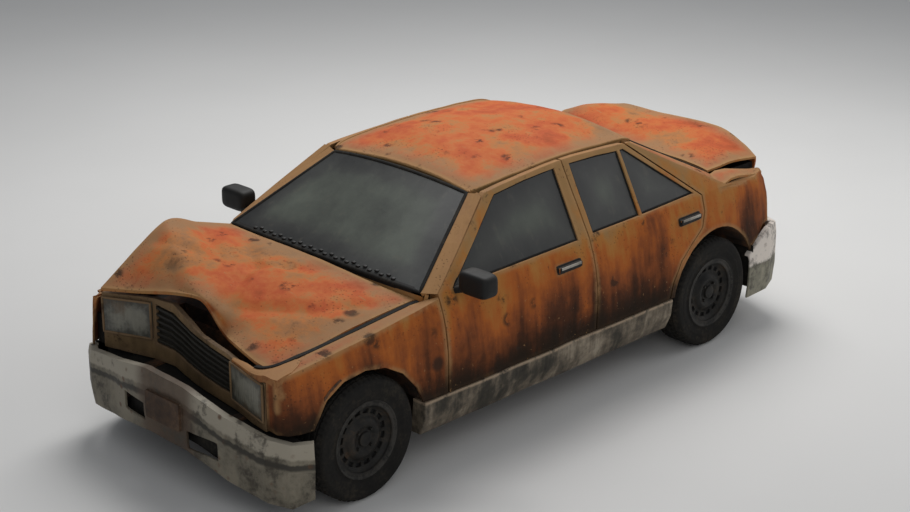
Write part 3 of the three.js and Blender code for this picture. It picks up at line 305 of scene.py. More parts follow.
def smoothed(rows: Sequence | Array, count: int, pull: float = 0.9) -> Array:
    """Smooth curve through a row of values, read at even steps from the first to the last.

    Each stretch is a cubic between two values, whose slopes are half the difference of the
    values on either side, times the pull.

    Args:
        rows: Numbers or points along the first axis.
        count: How many values to read.
        pull: Share of the full slope, lower for tighter bends.

    Returns:
        The curve's values.
    """
    values = np.asarray(rows, float)
    at = np.linspace(0, len(values) - 1, count)
    slope = np.gradient(values, axis=0) * pull
    k = np.clip(np.floor(at).astype(int), 0, len(values) - 2)
    t = (at - k).reshape((-1,) + (1,) * (values.ndim - 1))
    return (
        (2 * t**3 - 3 * t**2 + 1) * values[k]
        + (t**3 - 2 * t**2 + t) * slope[k]
        + (3 * t**2 - 2 * t**3) * values[k + 1]
        + (t**3 - t**2) * slope[k + 1]
    )


def patch(rows: Sequence[Sequence[float]], wide: int, long: int, pull: float) -> Array:
    """Grid of points over a panel given in columns, each with its X at the back and the front.

    Args:
        rows: X at the back, X at the front, then Y and Z of each station, in drawn metres.
        wide: Points across.
        long: Points from back to front.
        pull: How far the curves round off along the length.

    Returns:
        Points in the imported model's frame, wide by long by 3.
    """
    table = np.array(rows, float)
    x = between(table, 0, 1, np.linspace(0, 1, table.shape[1] // 2 - 1))
    cage = np.stack([x, table[:, 2::2], table[:, 3::2]], -1)
    across = smoothed(cage, wide, 0.85)
    return drawn(smoothed(across.swapaxes(0, 1), long, pull).swapaxes(0, 1))


def between(table: Array, start: int, stop: int, share: Array) -> Array:
    """Values from one column of a table to another, at shares of the way."""
    return table[:, start:start + 1] + (table[:, stop:stop + 1] - table[:, start:start + 1]) * share


def border_of(grid: Array) -> Array:
    """Points on the border of a grid of points, in order."""
    return np.concatenate([grid[:, 0], grid[-1], grid[::-1, -1], grid[0, ::-1]])


def make(name: str, part: Part, sharp: float = 35.0) -> bpy.types.Object:
    """Puts points and faces into a new object with shared points merged and faces turned out.

    Args:
        name: Name of the piece.
        part: Points and faces.
        sharp: Bend in degrees above which an edge shows sharp.

    Returns:
        The new object, at the origin.
    """
    mesh = bpy.data.meshes.new(name)
    mesh.from_pydata(part[0].tolist(), [], part[1])
    bm = bmesh.new()
    bm.from_mesh(mesh)
    bmesh.ops.remove_doubles(bm, verts=bm.verts, dist=2e-6)
    bmesh.ops.recalc_face_normals(bm, faces=bm.faces)
    bm.to_mesh(mesh)
    bm.free()
    return shown(name, mesh, sharp)


def shown(name: str, mesh: bpy.types.Mesh, sharp: float) -> bpy.types.Object:
    """Links a finished mesh into the scene, smooth but for its sharp edges.

    Args:
        name: Name of the piece.
        mesh: Its mesh.
        sharp: Bend in degrees above which an edge shows sharp.

    Returns:
        The new object.
    """
    mesh.name = name
    mesh.shade_smooth()
    mesh.set_sharp_from_angle(angle=math.radians(sharp))
    made = bpy.data.objects.new(name, mesh)
    bpy.context.scene.collection.objects.link(made)
    return made


def points_of(piece: bpy.types.Object) -> Array:
    """Points of a piece's mesh.

    Args:
        piece: The piece.

    Returns:
        One row for each point.
    """
    found = np.empty(len(piece.data.vertices) * 3, np.float32)
    piece.data.vertices.foreach_get("co", found)
    return found.reshape(-1, 3).astype(float)


def paint(piece: bpy.types.Object, name: str, values: Array) -> None:
    """Keeps a number for each point of a piece, for its material to read."""
    layer = piece.data.attributes.new(name, "FLOAT", "POINT")
    layer.data.foreach_set("value", values.astype(np.float32))


def nearest(points: Array, targets: Array, most: float) -> Array:
    """Distance from each point to the nearest target, worked out a slice of points at a time.

    Args:
        points: Points to measure from.
        targets: Points to measure to.
        most: Cap on the distances.

    Returns:
        One distance for each point.
    """
    slices = np.array_split(points, max(1, round(len(points) / 4000)))
    gaps = [np.sqrt(((part[:, None] - targets[None]) ** 2).sum(-1).min(1)) for part in slices]
    return np.minimum(np.concatenate(gaps), most)


def along_edges(starts: Array, ends: Array, step: float) -> Array:
    """Points spread along straight edges.

    Args:
        starts: Start of each edge.
        ends: End of each edge.
        step: Most that the points of an edge may lie apart.

    Returns:
        The points, each edge's ends among them.
    """
    lengths = np.linalg.norm(ends - starts, axis=1)
    counts = np.maximum(np.ceil(lengths / step).astype(int), 1) + 1
    share = np.concatenate([np.linspace(0, 1, count) for count in counts])
    start = np.repeat(starts, counts, axis=0)
    return start + (np.repeat(ends, counts, axis=0) - start) * share[:, None]


def round_path(corners: Array, step: float = 0.03) -> Array:
    """Points along a closed outline, about a step apart and none twice."""
    path = along_edges(corners, np.roll(corners, -1, 0), step)
    return path[np.linalg.norm(path - np.roll(path, 1, 0), axis=1) > 1e-4]


def reach(node: str, axis: int, sign: int, places: Array) -> Array:
    """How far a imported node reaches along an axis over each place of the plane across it.

    Each triangle gives the height of its plane at the places that lie inside it.

    Args:
        node: Name of the node.
        axis: 0, 1 or 2 for X, Y or Z.
        sign: 1 for the highest reach and -1 for the lowest.
        places: The two other coordinates of each place, in the order of the axes.

    Returns:
        The reach at each place, or not a number where the node isn't there.
    """
    mesh = frame["nodes"][node].data
    mesh.calc_loop_triangles()
    index = np.empty(len(mesh.loop_triangles) * 3, np.int32)
    mesh.loop_triangles.foreach_get("vertices", index)
    triangles = points_of(frame["nodes"][node])[index].reshape(-1, 3, 3)
    others = [k for k in range(3) if k != axis]
    best = np.full(len(places), -np.inf)
    for corners in triangles:
        (a, b, c), height = corners[:, others], corners[:, axis]
        area = (b[0] - a[0]) * (c[1] - a[1]) - (b[1] - a[1]) * (c[0] - a[0])
        if abs(area) < 1e-9:
            continue
        u = ((places[:, 0] - a[0]) * (c[1] - a[1]) - (places[:, 1] - a[1]) * (c[0] - a[0])) / area
        v = ((b[0] - a[0]) * (places[:, 1] - a[1]) - (b[1] - a[1]) * (places[:, 0] - a[0])) / area
        inside = (u > -1e-6) & (v > -1e-6) & (u + v < 1 + 1e-6)
        level = sign * (height[0] + u * (height[1] - height[0]) + v * (height[2] - height[0]))
        best = np.where(inside, np.maximum(best, level), best)
    return np.where(np.isfinite(best), sign * best, np.nan)


# Damage


@dataclass(frozen=True)
class Dent:
    """A round dent: it sinks by its depth in the middle and fades as a bell curve."""

    centre: Place
    radius: float
    depth: float

    def sink(self, points: Array) -> Array:
        """How far each point sinks."""
        gap = ((points - drawn(self.centre)) ** 2).sum(1)
        return self.depth * np.exp(-gap / self.radius**2)


@dataclass(frozen=True)
class Crease:
    """A folded line seen from above: the sheet sinks along it and rises beside it."""

    start: tuple[float, float]
    end: tuple[float, float]
    width: float
    depth: float

    def sink(self, points: Array) -> Array:
        """How far each point sinks, by its distance from the line: a valley with two banks.

        Args:
            points: Points of the sheet.

        Returns:
            One depth for each point.
        """
        a = np.array(self.start) + [0.0, SHIFT_Y]
        run = np.array(self.end) - np.array(self.start)
        share = np.clip(((points[:, :2] - a) @ run) / (run @ run), 0, 1)
        gap = np.linalg.norm(points[:, :2] - a - share[:, None] * run, axis=1) / self.width
        fade = np.sin(np.pi * (0.12 + 0.76 * share)) ** 0.6
        return self.depth * fade * (np.exp(-(gap**1.4)) - 0.45 * np.exp(-((gap - 1.9) ** 2)))


DENTS = {
    Facing.SIDE: (
        Dent((0.80, -1.05, 0.62), 0.20, 0.012), Dent((0.84, -0.30, 0.60), 0.24, 0.011),
        Dent((0.84, 0.62, 0.66), 0.22, 0.010), Dent((0.82, -1.55, 0.60), 0.13, 0.014),
        Dent((0.80, 1.62, 0.74), 0.16, 0.012), Dent((0.85, -0.62, 0.74), 0.10, 0.008),
        Dent((-0.82, -1.10, 0.66), 0.22, 0.013), Dent((-0.84, 0.05, 0.58), 0.26, 0.014),
        Dent((-0.84, 0.78, 0.70), 0.18, 0.010), Dent((-0.80, 1.60, 0.70), 0.18, 0.014),
        Dent((0.85, 0.12, 0.47), 0.14, 0.009), Dent((0.82, 0.95, 0.80), 0.12, 0.007),
    ),
    Facing.TOP: (
        Dent((0.10, 0.20, 1.35), 0.24, 0.016), Dent((-0.28, 0.62, 1.33), 0.20, 0.014),
        Dent((0.34, -0.10, 1.33), 0.15, 0.010), Dent((0.30, 0.66, 1.32), 0.13, 0.009),
        Dent((-0.30, -0.12, 1.32), 0.16, 0.010), Dent((0.28, 1.72, 1.02), 0.15, 0.014),
        Dent((-0.22, 1.86, 1.02), 0.14, 0.012), Dent((0.05, 1.66, 1.02), 0.16, 0.008),
    ),
    Facing.END: (
        Dent((0.38, -1.80, 0.34), 0.13, 0.012), Dent((-0.50, -1.80, 0.34), 0.15, 0.014),
        Dent((0.06, -1.88, 0.42), 0.10, 0.010), Dent((-0.35, 2.06, 0.42), 0.16, 0.012),
        Dent((0.42, 2.06, 0.34), 0.14, 0.010), Dent((0.70, -1.76, 0.60), 0.10, 0.008),
    ),
}
WAVES = ((9.0, 6.0, 14.0, 0.0013), (17.0, 13.0, 8.0, 0.0009), (33.0, 41.0, 37.0, 0.0004))


def ripple(points: Array) -> Array:
    """Slow waves of beaten sheet: a sum of sines along slanting directions.

    Args:
        points: Points of the sheet.

    Returns:
        One depth for each point.
    """
    total = np.zeros(len(points))
    for k, (a, b, c, height) in enumerate(WAVES):
        total += height * np.sin(points @ np.array([a, b, c]) + 1.7 * k)
        total += height * np.sin(points @ np.array([-b, c, a]) * 0.8 + 2.9 * k + 0.6)
    return total


def sunk(points: Array, facing: Facing, even: float = 0.0, waves: float = 1.0) -> Array:
    """How far each point of a panel is beaten in, by its dents and ripples, and never out.

    Args:
        points: Points of the panel.
        facing: Way that the panel looks.
        even: Depth that is added everywhere.
        waves: Share of the ripples.

    Returns:
        One depth for each point.
    """
    dents = sum(dent.sink(points) for dent in DENTS[facing])
    return np.maximum(dents + even + waves * ripple(points), 0)


def battered(points: Array, facing: Facing) -> Array:
    """Points of a panel of the body moved inwards by how far it is beaten in.

    Args:
        points: Points of the panel.
        facing: Way that the panel looks.

    Returns:
        The moved points.
    """
    even, waves = (0.002, 1.4) if facing is Facing.END else (0.0014, 1.0)
    axis = facing.value
    moved = points.copy()
    moved[:, axis] -= np.sign(points[:, axis]) * sunk(points, facing, even, waves)
    return moved


def refined(
    node: str, name: str, cell: float, bevel: float, facing: Facing | None, sharp: float = 32.0
) -> bpy.types.Object:
    """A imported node's shape in a new object with rounded edges and a fine grid of faces.

    Planes a cell apart cut the faces, the facing's dents move the points, and an attribute
    keeps each point's distance to the nearest hard edge.

    Args:
        node: Name of the node.
        name: Name of the new piece.
        cell: Distance between the cutting planes.
        bevel: Radius of the rounded edges, or 0.
        facing: Way that the panel looks, or None to leave it undented.
        sharp: Bend in degrees above which an edge shows sharp.

    Returns:
        The new object.
    """
    bm = bmesh.new()
    bm.from_mesh(frame["nodes"][node].data)
    bmesh.ops.remove_doubles(bm, verts=bm.verts, dist=1e-5)
    bmesh.ops.dissolve_limit(bm, angle_limit=math.radians(0.6), verts=bm.verts, edges=bm.edges)
    hard = [e for e in bm.edges if e.is_manifold and e.calc_face_angle(0) > math.radians(38)]
    ends = np.array([[v.co[:] for v in e.verts] for e in hard]).reshape(-1, 2, 3)
    if bevel:
        bmesh.ops.bevel(
            bm, geom=hard, offset=bevel, segments=2, profile=0.6, affect="EDGES", clamp_overlap=True
        )
    bmesh.ops.triangulate(bm, faces=bm.faces)
    low, high = corners_of(node)
    for axis in range(3):
        count = int((high[axis] - low[axis]) / cell)
        normal = np.eye(3)[axis]
        for k in range(1, count + 1):
            at = low + (high - low) * k / (count + 1)
            bmesh.ops.bisect_plane(
                bm, geom=[*bm.verts, *bm.edges, *bm.faces], dist=2e-4, plane_co=at, plane_no=normal
            )
    mesh = bpy.data.meshes.new(name)
    bm.to_mesh(mesh)
    bm.free()
    made = shown(name, mesh, sharp)
    points = points_of(made)
    paint(made, "edge", nearest(points, along_edges(ends[:, 0], ends[:, 1], 0.02), 0.5))
    if facing:
        mesh.vertices.foreach_set("co", battered(points, facing).astype(np.float32).ravel())
        mesh.update()
    return made


def rim_distance(piece: bpy.types.Object, outline: Array) -> None:
    """Keeps each point's distance to a panel's outline as its edge attribute."""
    paint(piece, "edge", nearest(points_of(piece), round_path(outline, 0.02), 0.5))


def place(
    piece: bpy.types.Object, finish: bpy.types.Material, body: str, slot: Slot, *stands_for: str
) -> bpy.types.Object:
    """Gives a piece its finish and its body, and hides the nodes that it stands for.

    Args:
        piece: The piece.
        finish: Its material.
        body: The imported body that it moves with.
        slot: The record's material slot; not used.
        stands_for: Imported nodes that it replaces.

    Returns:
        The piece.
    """
    piece.data.materials.clear()
    piece.data.materials.append(finish)
    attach(piece, body)
    if stands_for:
        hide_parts(*stands_for)
    LOG.info("%s: %d faces on %s", piece.name, len(piece.data.polygons), body)
    return piece


def body_with(node: str) -> str:
    """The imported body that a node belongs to."""
    return frame["nodes"][node]["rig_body"]


# Finishes


class Graph:
    """Builds one material's nodes, with a method for each kind that the finishes use."""

    def __init__(self, name: str) -> None:
        """Starts an empty material with its output and shader.

        Args:
            name: Name of the material.
        """
        self.material = bpy.data.materials.new(name)
        self.material.use_nodes = True
        self.tree = self.material.node_tree
        self.tree.nodes.clear()
        self.output = self.tree.nodes.new("ShaderNodeOutputMaterial")
        self.shader = self.tree.nodes.new("ShaderNodeBsdfPrincipled")
        self.tree.links.new(self.shader.outputs[0], self.output.inputs[0])
        self.coordinates = self.tree.nodes.new("ShaderNodeTexCoord").outputs["Object"]
        self.normals = self.tree.nodes.new("ShaderNodeNewGeometry").outputs["Normal"]

    def add(self, kind: str, inputs: dict, **settings: object) -> bpy.types.Node:
        """Adds a node, sets its options and feeds its inputs.

        Args:
            kind: Kind of the node.
            inputs: A value or another node's output for each input.
            settings: The node's options.

        Returns:
            The node.
        """
        node = self.tree.nodes.new(kind)
        for key, value in settings.items():
            setattr(node, key, value)
        for key, value in inputs.items():
            if isinstance(value, bpy.types.NodeSocket):
                self.tree.links.new(value, node.inputs[key])
            else:
                node.inputs[key].default_value = value
        return node

    def scaled(self, scale: Place, shift: Place = (0, 0, 0)) -> bpy.types.NodeSocket:
        """Object coordinates stretched and moved."""
        inputs = {"Vector": self.coordinates, "Scale": scale, "Location": shift}
        return self.add("ShaderNodeMapping", inputs).outputs[0]

    def noise(
        self, scale: float, detail: float = 5, rough: float = 0.6,
        vector: bpy.types.NodeSocket | None = None,
    ) -> bpy.types.NodeSocket:
        """Cloudy noise from 0 to 1.

        Args:
            scale: Clouds to a metre, about.
            detail: Number of finer layers.
            rough: Weight of each finer layer.
            vector: Where it is read, or None for the object's coordinates.

        Returns:
            The noise.
        """
        inputs = {
            "Vector": vector or self.coordinates, "Scale": scale, "Detail": detail,
            "Roughness": rough,
        }
        return self.add("ShaderNodeTexNoise", inputs).outputs[0]

    def cells(self, scale: float, vector: bpy.types.NodeSocket | None = None) -> bpy.types.NodeSocket:
        """Distance to the nearest of many scattered points."""
        inputs = {"Vector": vector or self.coordinates, "Scale": scale}
        return self.add("ShaderNodeTexVoronoi", inputs).outputs["Distance"]

    def axes(self, vector: bpy.types.NodeSocket) -> list[bpy.types.NodeSocket]:
        """The three parts of a vector."""
        return list(self.add("ShaderNodeSeparateXYZ", {0: vector}).outputs)

    def sum(self, *terms: tuple) -> bpy.types.NodeSocket:
        """Sum of outputs, each times a number."""
        total: bpy.types.NodeSocket | float = 0.0
        for value, weight in terms:
            inputs = {0: value, 1: weight, 2: total}
            total = self.add("ShaderNodeMath", inputs, operation="MULTIPLY_ADD").outputs[0]
        return total

    def times(self, a: bpy.types.NodeSocket, b: bpy.types.NodeSocket | float) -> bpy.types.NodeSocket:
        """Product of two values."""
        return self.add("ShaderNodeMath", {0: a, 1: b}, operation="MULTIPLY").outputs[0]

    def size(self, a: bpy.types.NodeSocket) -> bpy.types.NodeSocket:
        """A value without its sign."""
        return self.add("ShaderNodeMath", {0: a}, operation="ABSOLUTE").outputs[0]

    def span(
        self, value: bpy.types.NodeSocket, start: float, end: float, top: float = 1.0
    ) -> bpy.types.NodeSocket:
        """A value read as 0 at the start and the top at the end, smooth between and held outside.

        Args:
            value: The value.
            start: Where the result is 0.
            end: Where the result is the top.
            top: Highest result.

        Returns:
            The result.
        """
        inputs = {"Value": value, "From Min": start, "From Max": end, "To Min": 0.0, "To Max": top}
        made = self.add("ShaderNodeMapRange", inputs, interpolation_type="SMOOTHSTEP")
        return made.outputs[0]

    def ramp(
        self, value: bpy.types.NodeSocket, stops: Sequence[tuple[float, Colour]]
    ) -> bpy.types.NodeSocket:
        """A colour picked by a value from a row of stops.

        Args:
            value: The value.
            stops: Position and colour of each stop.

        Returns:
            The colour.
        """
        node = self.add("ShaderNodeValToRGB", {0: value})
        elements = node.color_ramp.elements
        while len(elements) < len(stops):
            elements.new(0.5)
        for element, (position, colour) in zip(elements, stops):
            element.position = position
            element.color = (*colour, 1)
        return node.outputs[0]

    def mix(
        self, share: bpy.types.NodeSocket, a: Colour | bpy.types.NodeSocket,
        b: Colour | bpy.types.NodeSocket,
    ) -> bpy.types.NodeSocket:
        """One colour laid over another.

        Args:
            share: Share of the upper colour.
            a: The lower colour, fixed or from a node.
            b: The upper colour.

        Returns:
            The mixed colour.
        """
        a, b = ((*c, 1) if isinstance(c, tuple) else c for c in (a, b))
        inputs = {0: share, 6: a, 7: b}
        return self.add("ShaderNodeMix", inputs, data_type="RGBA").outputs[2]

    def attribute(self, name: str) -> bpy.types.NodeSocket:
        """The number kept for each point under a name."""
        return self.add("ShaderNodeAttribute", {}, attribute_name=name).outputs["Fac"]

    def finish(
        self, colour: bpy.types.NodeSocket, rough: bpy.types.NodeSocket | float,
        height: bpy.types.NodeSocket | None = None, strength: float = 0.4, depth: float = 0.003,
        metal: float = 0.0, specular: float = 0.35,
    ) -> bpy.types.Material:
        """Joins colour, roughness and relief to the shader.

        Args:
            colour: Base colour.
            rough: Roughness.
            height: Relief, or None for a smooth surface.
            strength: Share of the relief.
            depth: Height of the relief in metres.
            metal: Metallic value.
            specular: Specular level.

        Returns:
            The material.
        """
        shader = self.shader
        self.tree.links.new(colour, shader.inputs["Base Color"])
        if isinstance(rough, bpy.types.NodeSocket):
            self.tree.links.new(rough, shader.inputs["Roughness"])
        else:
            shader.inputs["Roughness"].default_value = rough
        shader.inputs["Metallic"].default_value = metal
        shader.inputs["Specular IOR Level"].default_value = specular
        if height is not None:
            inputs = {"Height": height, "Strength": strength, "Distance": depth}
            bump = self.add("ShaderNodeBump", inputs)
            self.tree.links.new(bump.outputs[0], shader.inputs["Normal"])
        return self.material


@dataclass(frozen=True)
class RustedPaint:
    """Burnt red paint gone to rust: flaked patches on top, streaks down the sides, a black hem."""

    name: str = "rusted_paint"
    tops: tuple = (
        (0.33, (0.10, 0.045, 0.022)), (0.405, (0.35, 0.160, 0.064)), (0.455, (0.46, 0.180, 0.058)),
        (0.495, (0.54, 0.145, 0.042)), (0.56, (0.49, 0.100, 0.034)), (0.65, (0.32, 0.075, 0.027)),
    )
    sides: tuple = (
        (0.33, (0.032, 0.015, 0.009)), (0.41, (0.110, 0.036, 0.015)), (0.475, (0.26, 0.073, 0.022)),
        (0.540, (0.43, 0.120, 0.025)), (0.61, (0.44, 0.185, 0.044)), (0.69, (0.34, 0.200, 0.080)),
    )
    worn: Colour = (0.40, 0.225, 0.095)
    border: Colour = (0.33, 0.185, 0.090)
    hem: Colour = (0.018, 0.011, 0.006)
    pit: Colour = (0.035, 0.022, 0.015)
    hem_low: float = 0.40
    hem_high: float = 0.64
    wear: float = 0.030
    border_width: float = 0.150
    fall: float = 0.40

    def build(self) -> bpy.types.Material:
        """Makes the material."""
        g = Graph(self.name)
        height = g.axes(g.coordinates)[2]
        up = g.span(g.axes(g.normals)[2], 0.42, 0.78)
        broad = g.noise(2.3, 5, 0.55)
        flakes = g.noise(7.5, 9, 0.68)
        grain = g.noise(38, 5, 0.7)
        streaks = g.noise(1.0, 4, 0.55, g.scaled((4.5, 5.6, 0.85)))
        runs = g.noise(1.0, 4, 0.55, g.scaled((17.0, 23.0, 1.9), (3, 1, 0)))
        top = g.ramp(g.sum((broad, 0.55), (flakes, 0.37), (grain, 0.08)), self.tops)
        side_value = g.sum(
            (broad, 0.26), (streaks, 0.44), (flakes, 0.18), (runs, 0.12), (height, self.fall),
            (1.0, 0.06 - 0.85 * self.fall),
        )
        side = g.ramp(side_value, self.sides)
        rim = g.sum((g.attribute("edge"), 1.0), (broad, 0.22), (flakes, 0.16), (1.0, -0.19))
        top = g.mix(g.span(rim, self.border_width, 0.015, 0.85), top, self.border)
        colour = g.mix(up, side, top)
        near = g.span(g.attribute("edge"), self.wear, 0.003)
        bare = g.times(near, g.span(g.sum((flakes, 0.6), (broad, 0.4)), 0.40, 0.53))
        colour = g.mix(g.times(bare, 0.75), colour, self.worn)
        low = g.sum((height, 1.0), (streaks, 0.26), (flakes, 0.16), (1.0, -0.21))
        colour = g.mix(g.span(low, self.hem_high, self.hem_low, 0.95), colour, self.hem)
        blots = g.times(g.span(g.cells(6.5), 0.34, 0.16), g.span(flakes, 0.5, 0.58))
        pits = g.times(g.span(g.cells(55), 0.30, 0.14), g.span(g.noise(5.5, 3), 0.46, 0.62))
        scratches = g.span(g.noise(1.0, 3, 0.5, g.scaled((9.0, 60.0, 60.0))), 0.69, 0.73, 0.5)
        colour = g.mix(g.times(blots, 0.82), colour, self.pit)
        colour = g.mix(g.times(pits, 0.45), colour, self.pit)
        colour = g.mix(scratches, colour, self.worn)
        rough = g.sum((flakes, 0.30), (grain, 0.20), (0.48, 1.0))
        relief = g.sum((flakes, 0.9), (grain, 0.5), (pits, -0.8), (blots, -0.5), (runs, 0.2))
        return g.finish(colour, rough, relief, 0.5, 0.004, specular=0.12)


@dataclass(frozen=True)
class SootySill:
    """Sill steel under road dirt: green-black, with a bare worn upper edge and rusty blots."""

    name: str = "sooty_sill"
    edge_z: float = 0.392

    def build(self) -> bpy.types.Material:
        """Makes the material."""
        g = Graph(self.name)
        height = g.axes(g.coordinates)[2]
        broad, fine = g.noise(4.0, 6, 0.65), g.noise(24, 6, 0.7)
        runs = g.noise(1.0, 4, 0.6, g.scaled((10.0, 16.0, 1.5)))
        value = g.sum((broad, 0.5), (runs, 0.3), (fine, 0.2))
        colour = g.ramp(value, (
            (0.36, (0.012, 0.010, 0.007)), (0.46, (0.050, 0.042, 0.030)),
            (0.53, (0.15, 0.120, 0.085)), (0.60, (0.29, 0.240, 0.175)), (0.68, (0.42, 0.37, 0.29)),
        ))
        worn = g.times(g.span(height, self.edge_z - 0.014, self.edge_z), g.span(fine, 0.34, 0.52))
        colour = g.mix(g.times(worn, 0.85), colour, (0.42, 0.31, 0.21))
        relief = g.sum((broad, 0.5), (fine, 0.6))
        return g.finish(colour, g.sum((fine, 0.4), (0.5, 1.0)), relief, 0.5, 0.004)


@dataclass(frozen=True)
class WornBumper:
    """Grey bumper skin: a pale scuffed upper band over a dirty face, rusty where it broke, with painted
    shade in its sunk band.
    """

    name: str
    pale: Colour = (0.36, 0.32, 0.25)
    face: Colour = (0.105, 0.092, 0.068)
    rust_half_width: float = 0.21
    pale_from: float = 0.73
    # Share of the height of the sunk band, filled near black as painted shade.
    groove: tuple = (0.56, 0.70)

    def build(self) -> bpy.types.Material:
        """Makes the material."""
        g = Graph(self.name)
        across = g.size(g.axes(g.coordinates)[0])
        broad, fine = g.noise(4.2, 7, 0.66), g.noise(28, 6, 0.72)
        runs = g.noise(1.0, 5, 0.6, g.scaled((15.0, 15.0, 2.2)))
        mark = g.sum((broad, 0.55), (fine, 0.25), (runs, 0.2))
        band = g.sum((g.attribute("band"), 1.0), (broad, 0.14), (fine, 0.05), (1.0, -0.095))
        colour = g.mix(g.span(mark, 0.40, 0.60), self.face, tuple(2.3 * c for c in self.face))
        # Painted shade: the sunk band is darkened to near black.
        low, high = self.groove
        sunk = g.times(g.span(band, low, low + 0.05), g.span(band, high, high - 0.04))
        colour = g.mix(g.times(sunk, 0.85), colour, (0.022, 0.020, 0.016))
        colour = g.mix(g.span(band, self.pale_from, self.pale_from + 0.05, 0.96), colour, self.pale)
        colour = g.mix(g.span(mark, 0.485, 0.41, 0.75), colour, (0.045, 0.036, 0.026))
        middle_rust = g.times(
            g.span(across, self.rust_half_width + 0.06, self.rust_half_width - 0.06),
            g.span(mark, 0.36, 0.46),
        )
        colour = g.mix(g.times(middle_rust, 0.80), colour, (0.085, 0.050, 0.030))
        spots = g.times(g.span(g.cells(16), 0.30, 0.12), g.span(broad, 0.47, 0.58))
        colour = g.mix(g.times(spots, 0.8), colour, (0.11, 0.05, 0.022))
        relief = g.sum((broad, 0.6), (fine, 0.5), (spots, -0.6), (sunk, -0.8))
        return g.finish(colour, g.sum((fine, 0.45), (0.42, 1.0)), relief, 0.45, 0.004, specular=0.35)


@dataclass(frozen=True)
class CloudedGlass:
    """Old glass under baked dirt: cloudy grey-green in the middle, darker towards its seal."""

    name: str = "clouded_glass"

    def build(self) -> bpy.types.Material:
        """Makes the material."""
        g = Graph(self.name)
        clouds = g.noise(2.6, 5, 0.6)
        dust = g.noise(70, 4, 0.7)
        runs = g.noise(1.0, 4, 0.6, g.scaled((16.0, 16.0, 1.6)))
        inner = g.span(g.attribute("edge"), 0.01, 0.20)
        value = g.sum((clouds, 0.5), (inner, 0.28), (runs, 0.12), (dust, 0.06))
        colour = g.ramp(value, (
            (0.28, (0.016, 0.016, 0.015)), (0.46, (0.040, 0.041, 0.036)),
            (0.60, (0.068, 0.076, 0.060)), (0.74, (0.100, 0.114, 0.088)),
        ))
        streak = g.span(runs, 0.58, 0.72, 0.22)
        colour = g.mix(streak, colour, (0.11, 0.095, 0.07))
        rough = g.sum((clouds, 0.35), (dust, 0.15), (0.20, 1.0))
        return g.finish(colour, rough, g.sum((dust, 1.0)), 0.08, 0.001, specular=0.5)


@dataclass(frozen=True)
class DryPlastic:
    """Black plastic faded grey where the sun and the dust lie on it."""

    name: str = "dry_plastic"
    base: Colour = (0.008, 0.0075, 0.007)
    dusty: Colour = (0.015, 0.0135, 0.011)

    def build(self) -> bpy.types.Material:
        """Makes the material."""
        g = Graph(self.name)
        up = g.span(g.axes(g.normals)[2], 0.0, 0.9)
        broad, fine = g.noise(9, 6, 0.65), g.noise(90, 3, 0.6)
        lying = g.sum((up, 0.35), (broad, 0.8), (fine, 0.15))
        colour = g.mix(g.span(lying, 0.48, 0.95, 0.9), self.base, self.dusty)
        relief = g.sum((broad, 0.4), (fine, 0.7))
        return g.finish(colour, g.sum((broad, 0.4), (0.4, 1.0)), relief, 0.3, 0.0015)


@dataclass(frozen=True)
class PerishedRubber:
    """Tyre and seal rubber, cracked, with dusty brown patches."""

    name: str = "perished_rubber"

    def build(self) -> bpy.types.Material:
        """Makes the material."""
        g = Graph(self.name)
        broad, fine = g.noise(8, 6, 0.65), g.noise(60, 5, 0.7)
        colour = g.ramp(g.sum((broad, 0.6), (fine, 0.4)), (
            (0.36, (0.0065, 0.006, 0.0055)), (0.52, (0.014, 0.0125, 0.0105)),
            (0.66, (0.040, 0.033, 0.024)),
        ))
        relief = g.sum((broad, 0.3), (fine, 0.8))
        return g.finish(colour, g.sum((broad, 0.3), (0.65, 1.0)), relief, 0.4, 0.0015, specular=0.2)


@dataclass(frozen=True)
class SootedSteel:
    """Wheel steel under brake dust and rust, worn lighter on its outer lip, with painted shade near black
    in its slots.
    """

    name: str = "sooted_steel"

    def build(self) -> bpy.types.Material:
        """Makes the material."""
        g = Graph(self.name)
        broad, fine = g.noise(11, 6, 0.66), g.noise(70, 4, 0.7)
        colour = g.ramp(g.sum((broad, 0.65), (fine, 0.35)), (
            (0.36, (0.006, 0.0055, 0.005)), (0.50, (0.016, 0.0145, 0.012)),
            (0.60, (0.036, 0.028, 0.020)), (0.70, (0.08, 0.044, 0.024)),
        ))
        lip = g.times(g.attribute("lip"), g.span(g.sum((fine, 0.5), (broad, 0.5)), 0.42, 0.58))
        colour = g.mix(lip, colour, (0.046, 0.042, 0.036))
        # Painted shade: the sunk slots are made near black.
        colour = g.mix(g.attribute("slot"), colour, (0.003, 0.003, 0.003))
        relief = g.sum((broad, 0.5), (fine, 0.6))
        return g.finish(colour, g.sum((fine, 0.4), (0.4, 1.0)), relief, 0.4, 0.002, metal=0.25)


@dataclass(frozen=True)
class DullLens:
    """Yellowed lamp glass full of dirt, lighter where light still gets in."""

    name: str
    deep: Colour = (0.045, 0.043, 0.034)
    milky: Colour = (0.20, 0.19, 0.15)
    stain: Colour = (0.10, 0.06, 0.03)

    def build(self) -> bpy.types.Material:
        """Makes the material."""
        g = Graph(self.name)
        broad, fine = g.noise(13, 5, 0.6), g.noise(80, 4, 0.7)
        inner = g.span(g.attribute("edge"), 0.0, 0.05)
        value = g.sum((broad, 0.75), (fine, 0.15), (inner, 0.22))
        colour = g.mix(g.span(value, 0.40, 0.74), self.deep, self.milky)
        colour = g.mix(g.span(g.noise(6, 5, 0.6), 0.52, 0.66, 0.7), colour, self.stain)
        return g.finish(colour, g.sum((broad, 0.4), (0.2, 1.0)), fine, 0.15, 0.001, specular=0.5)


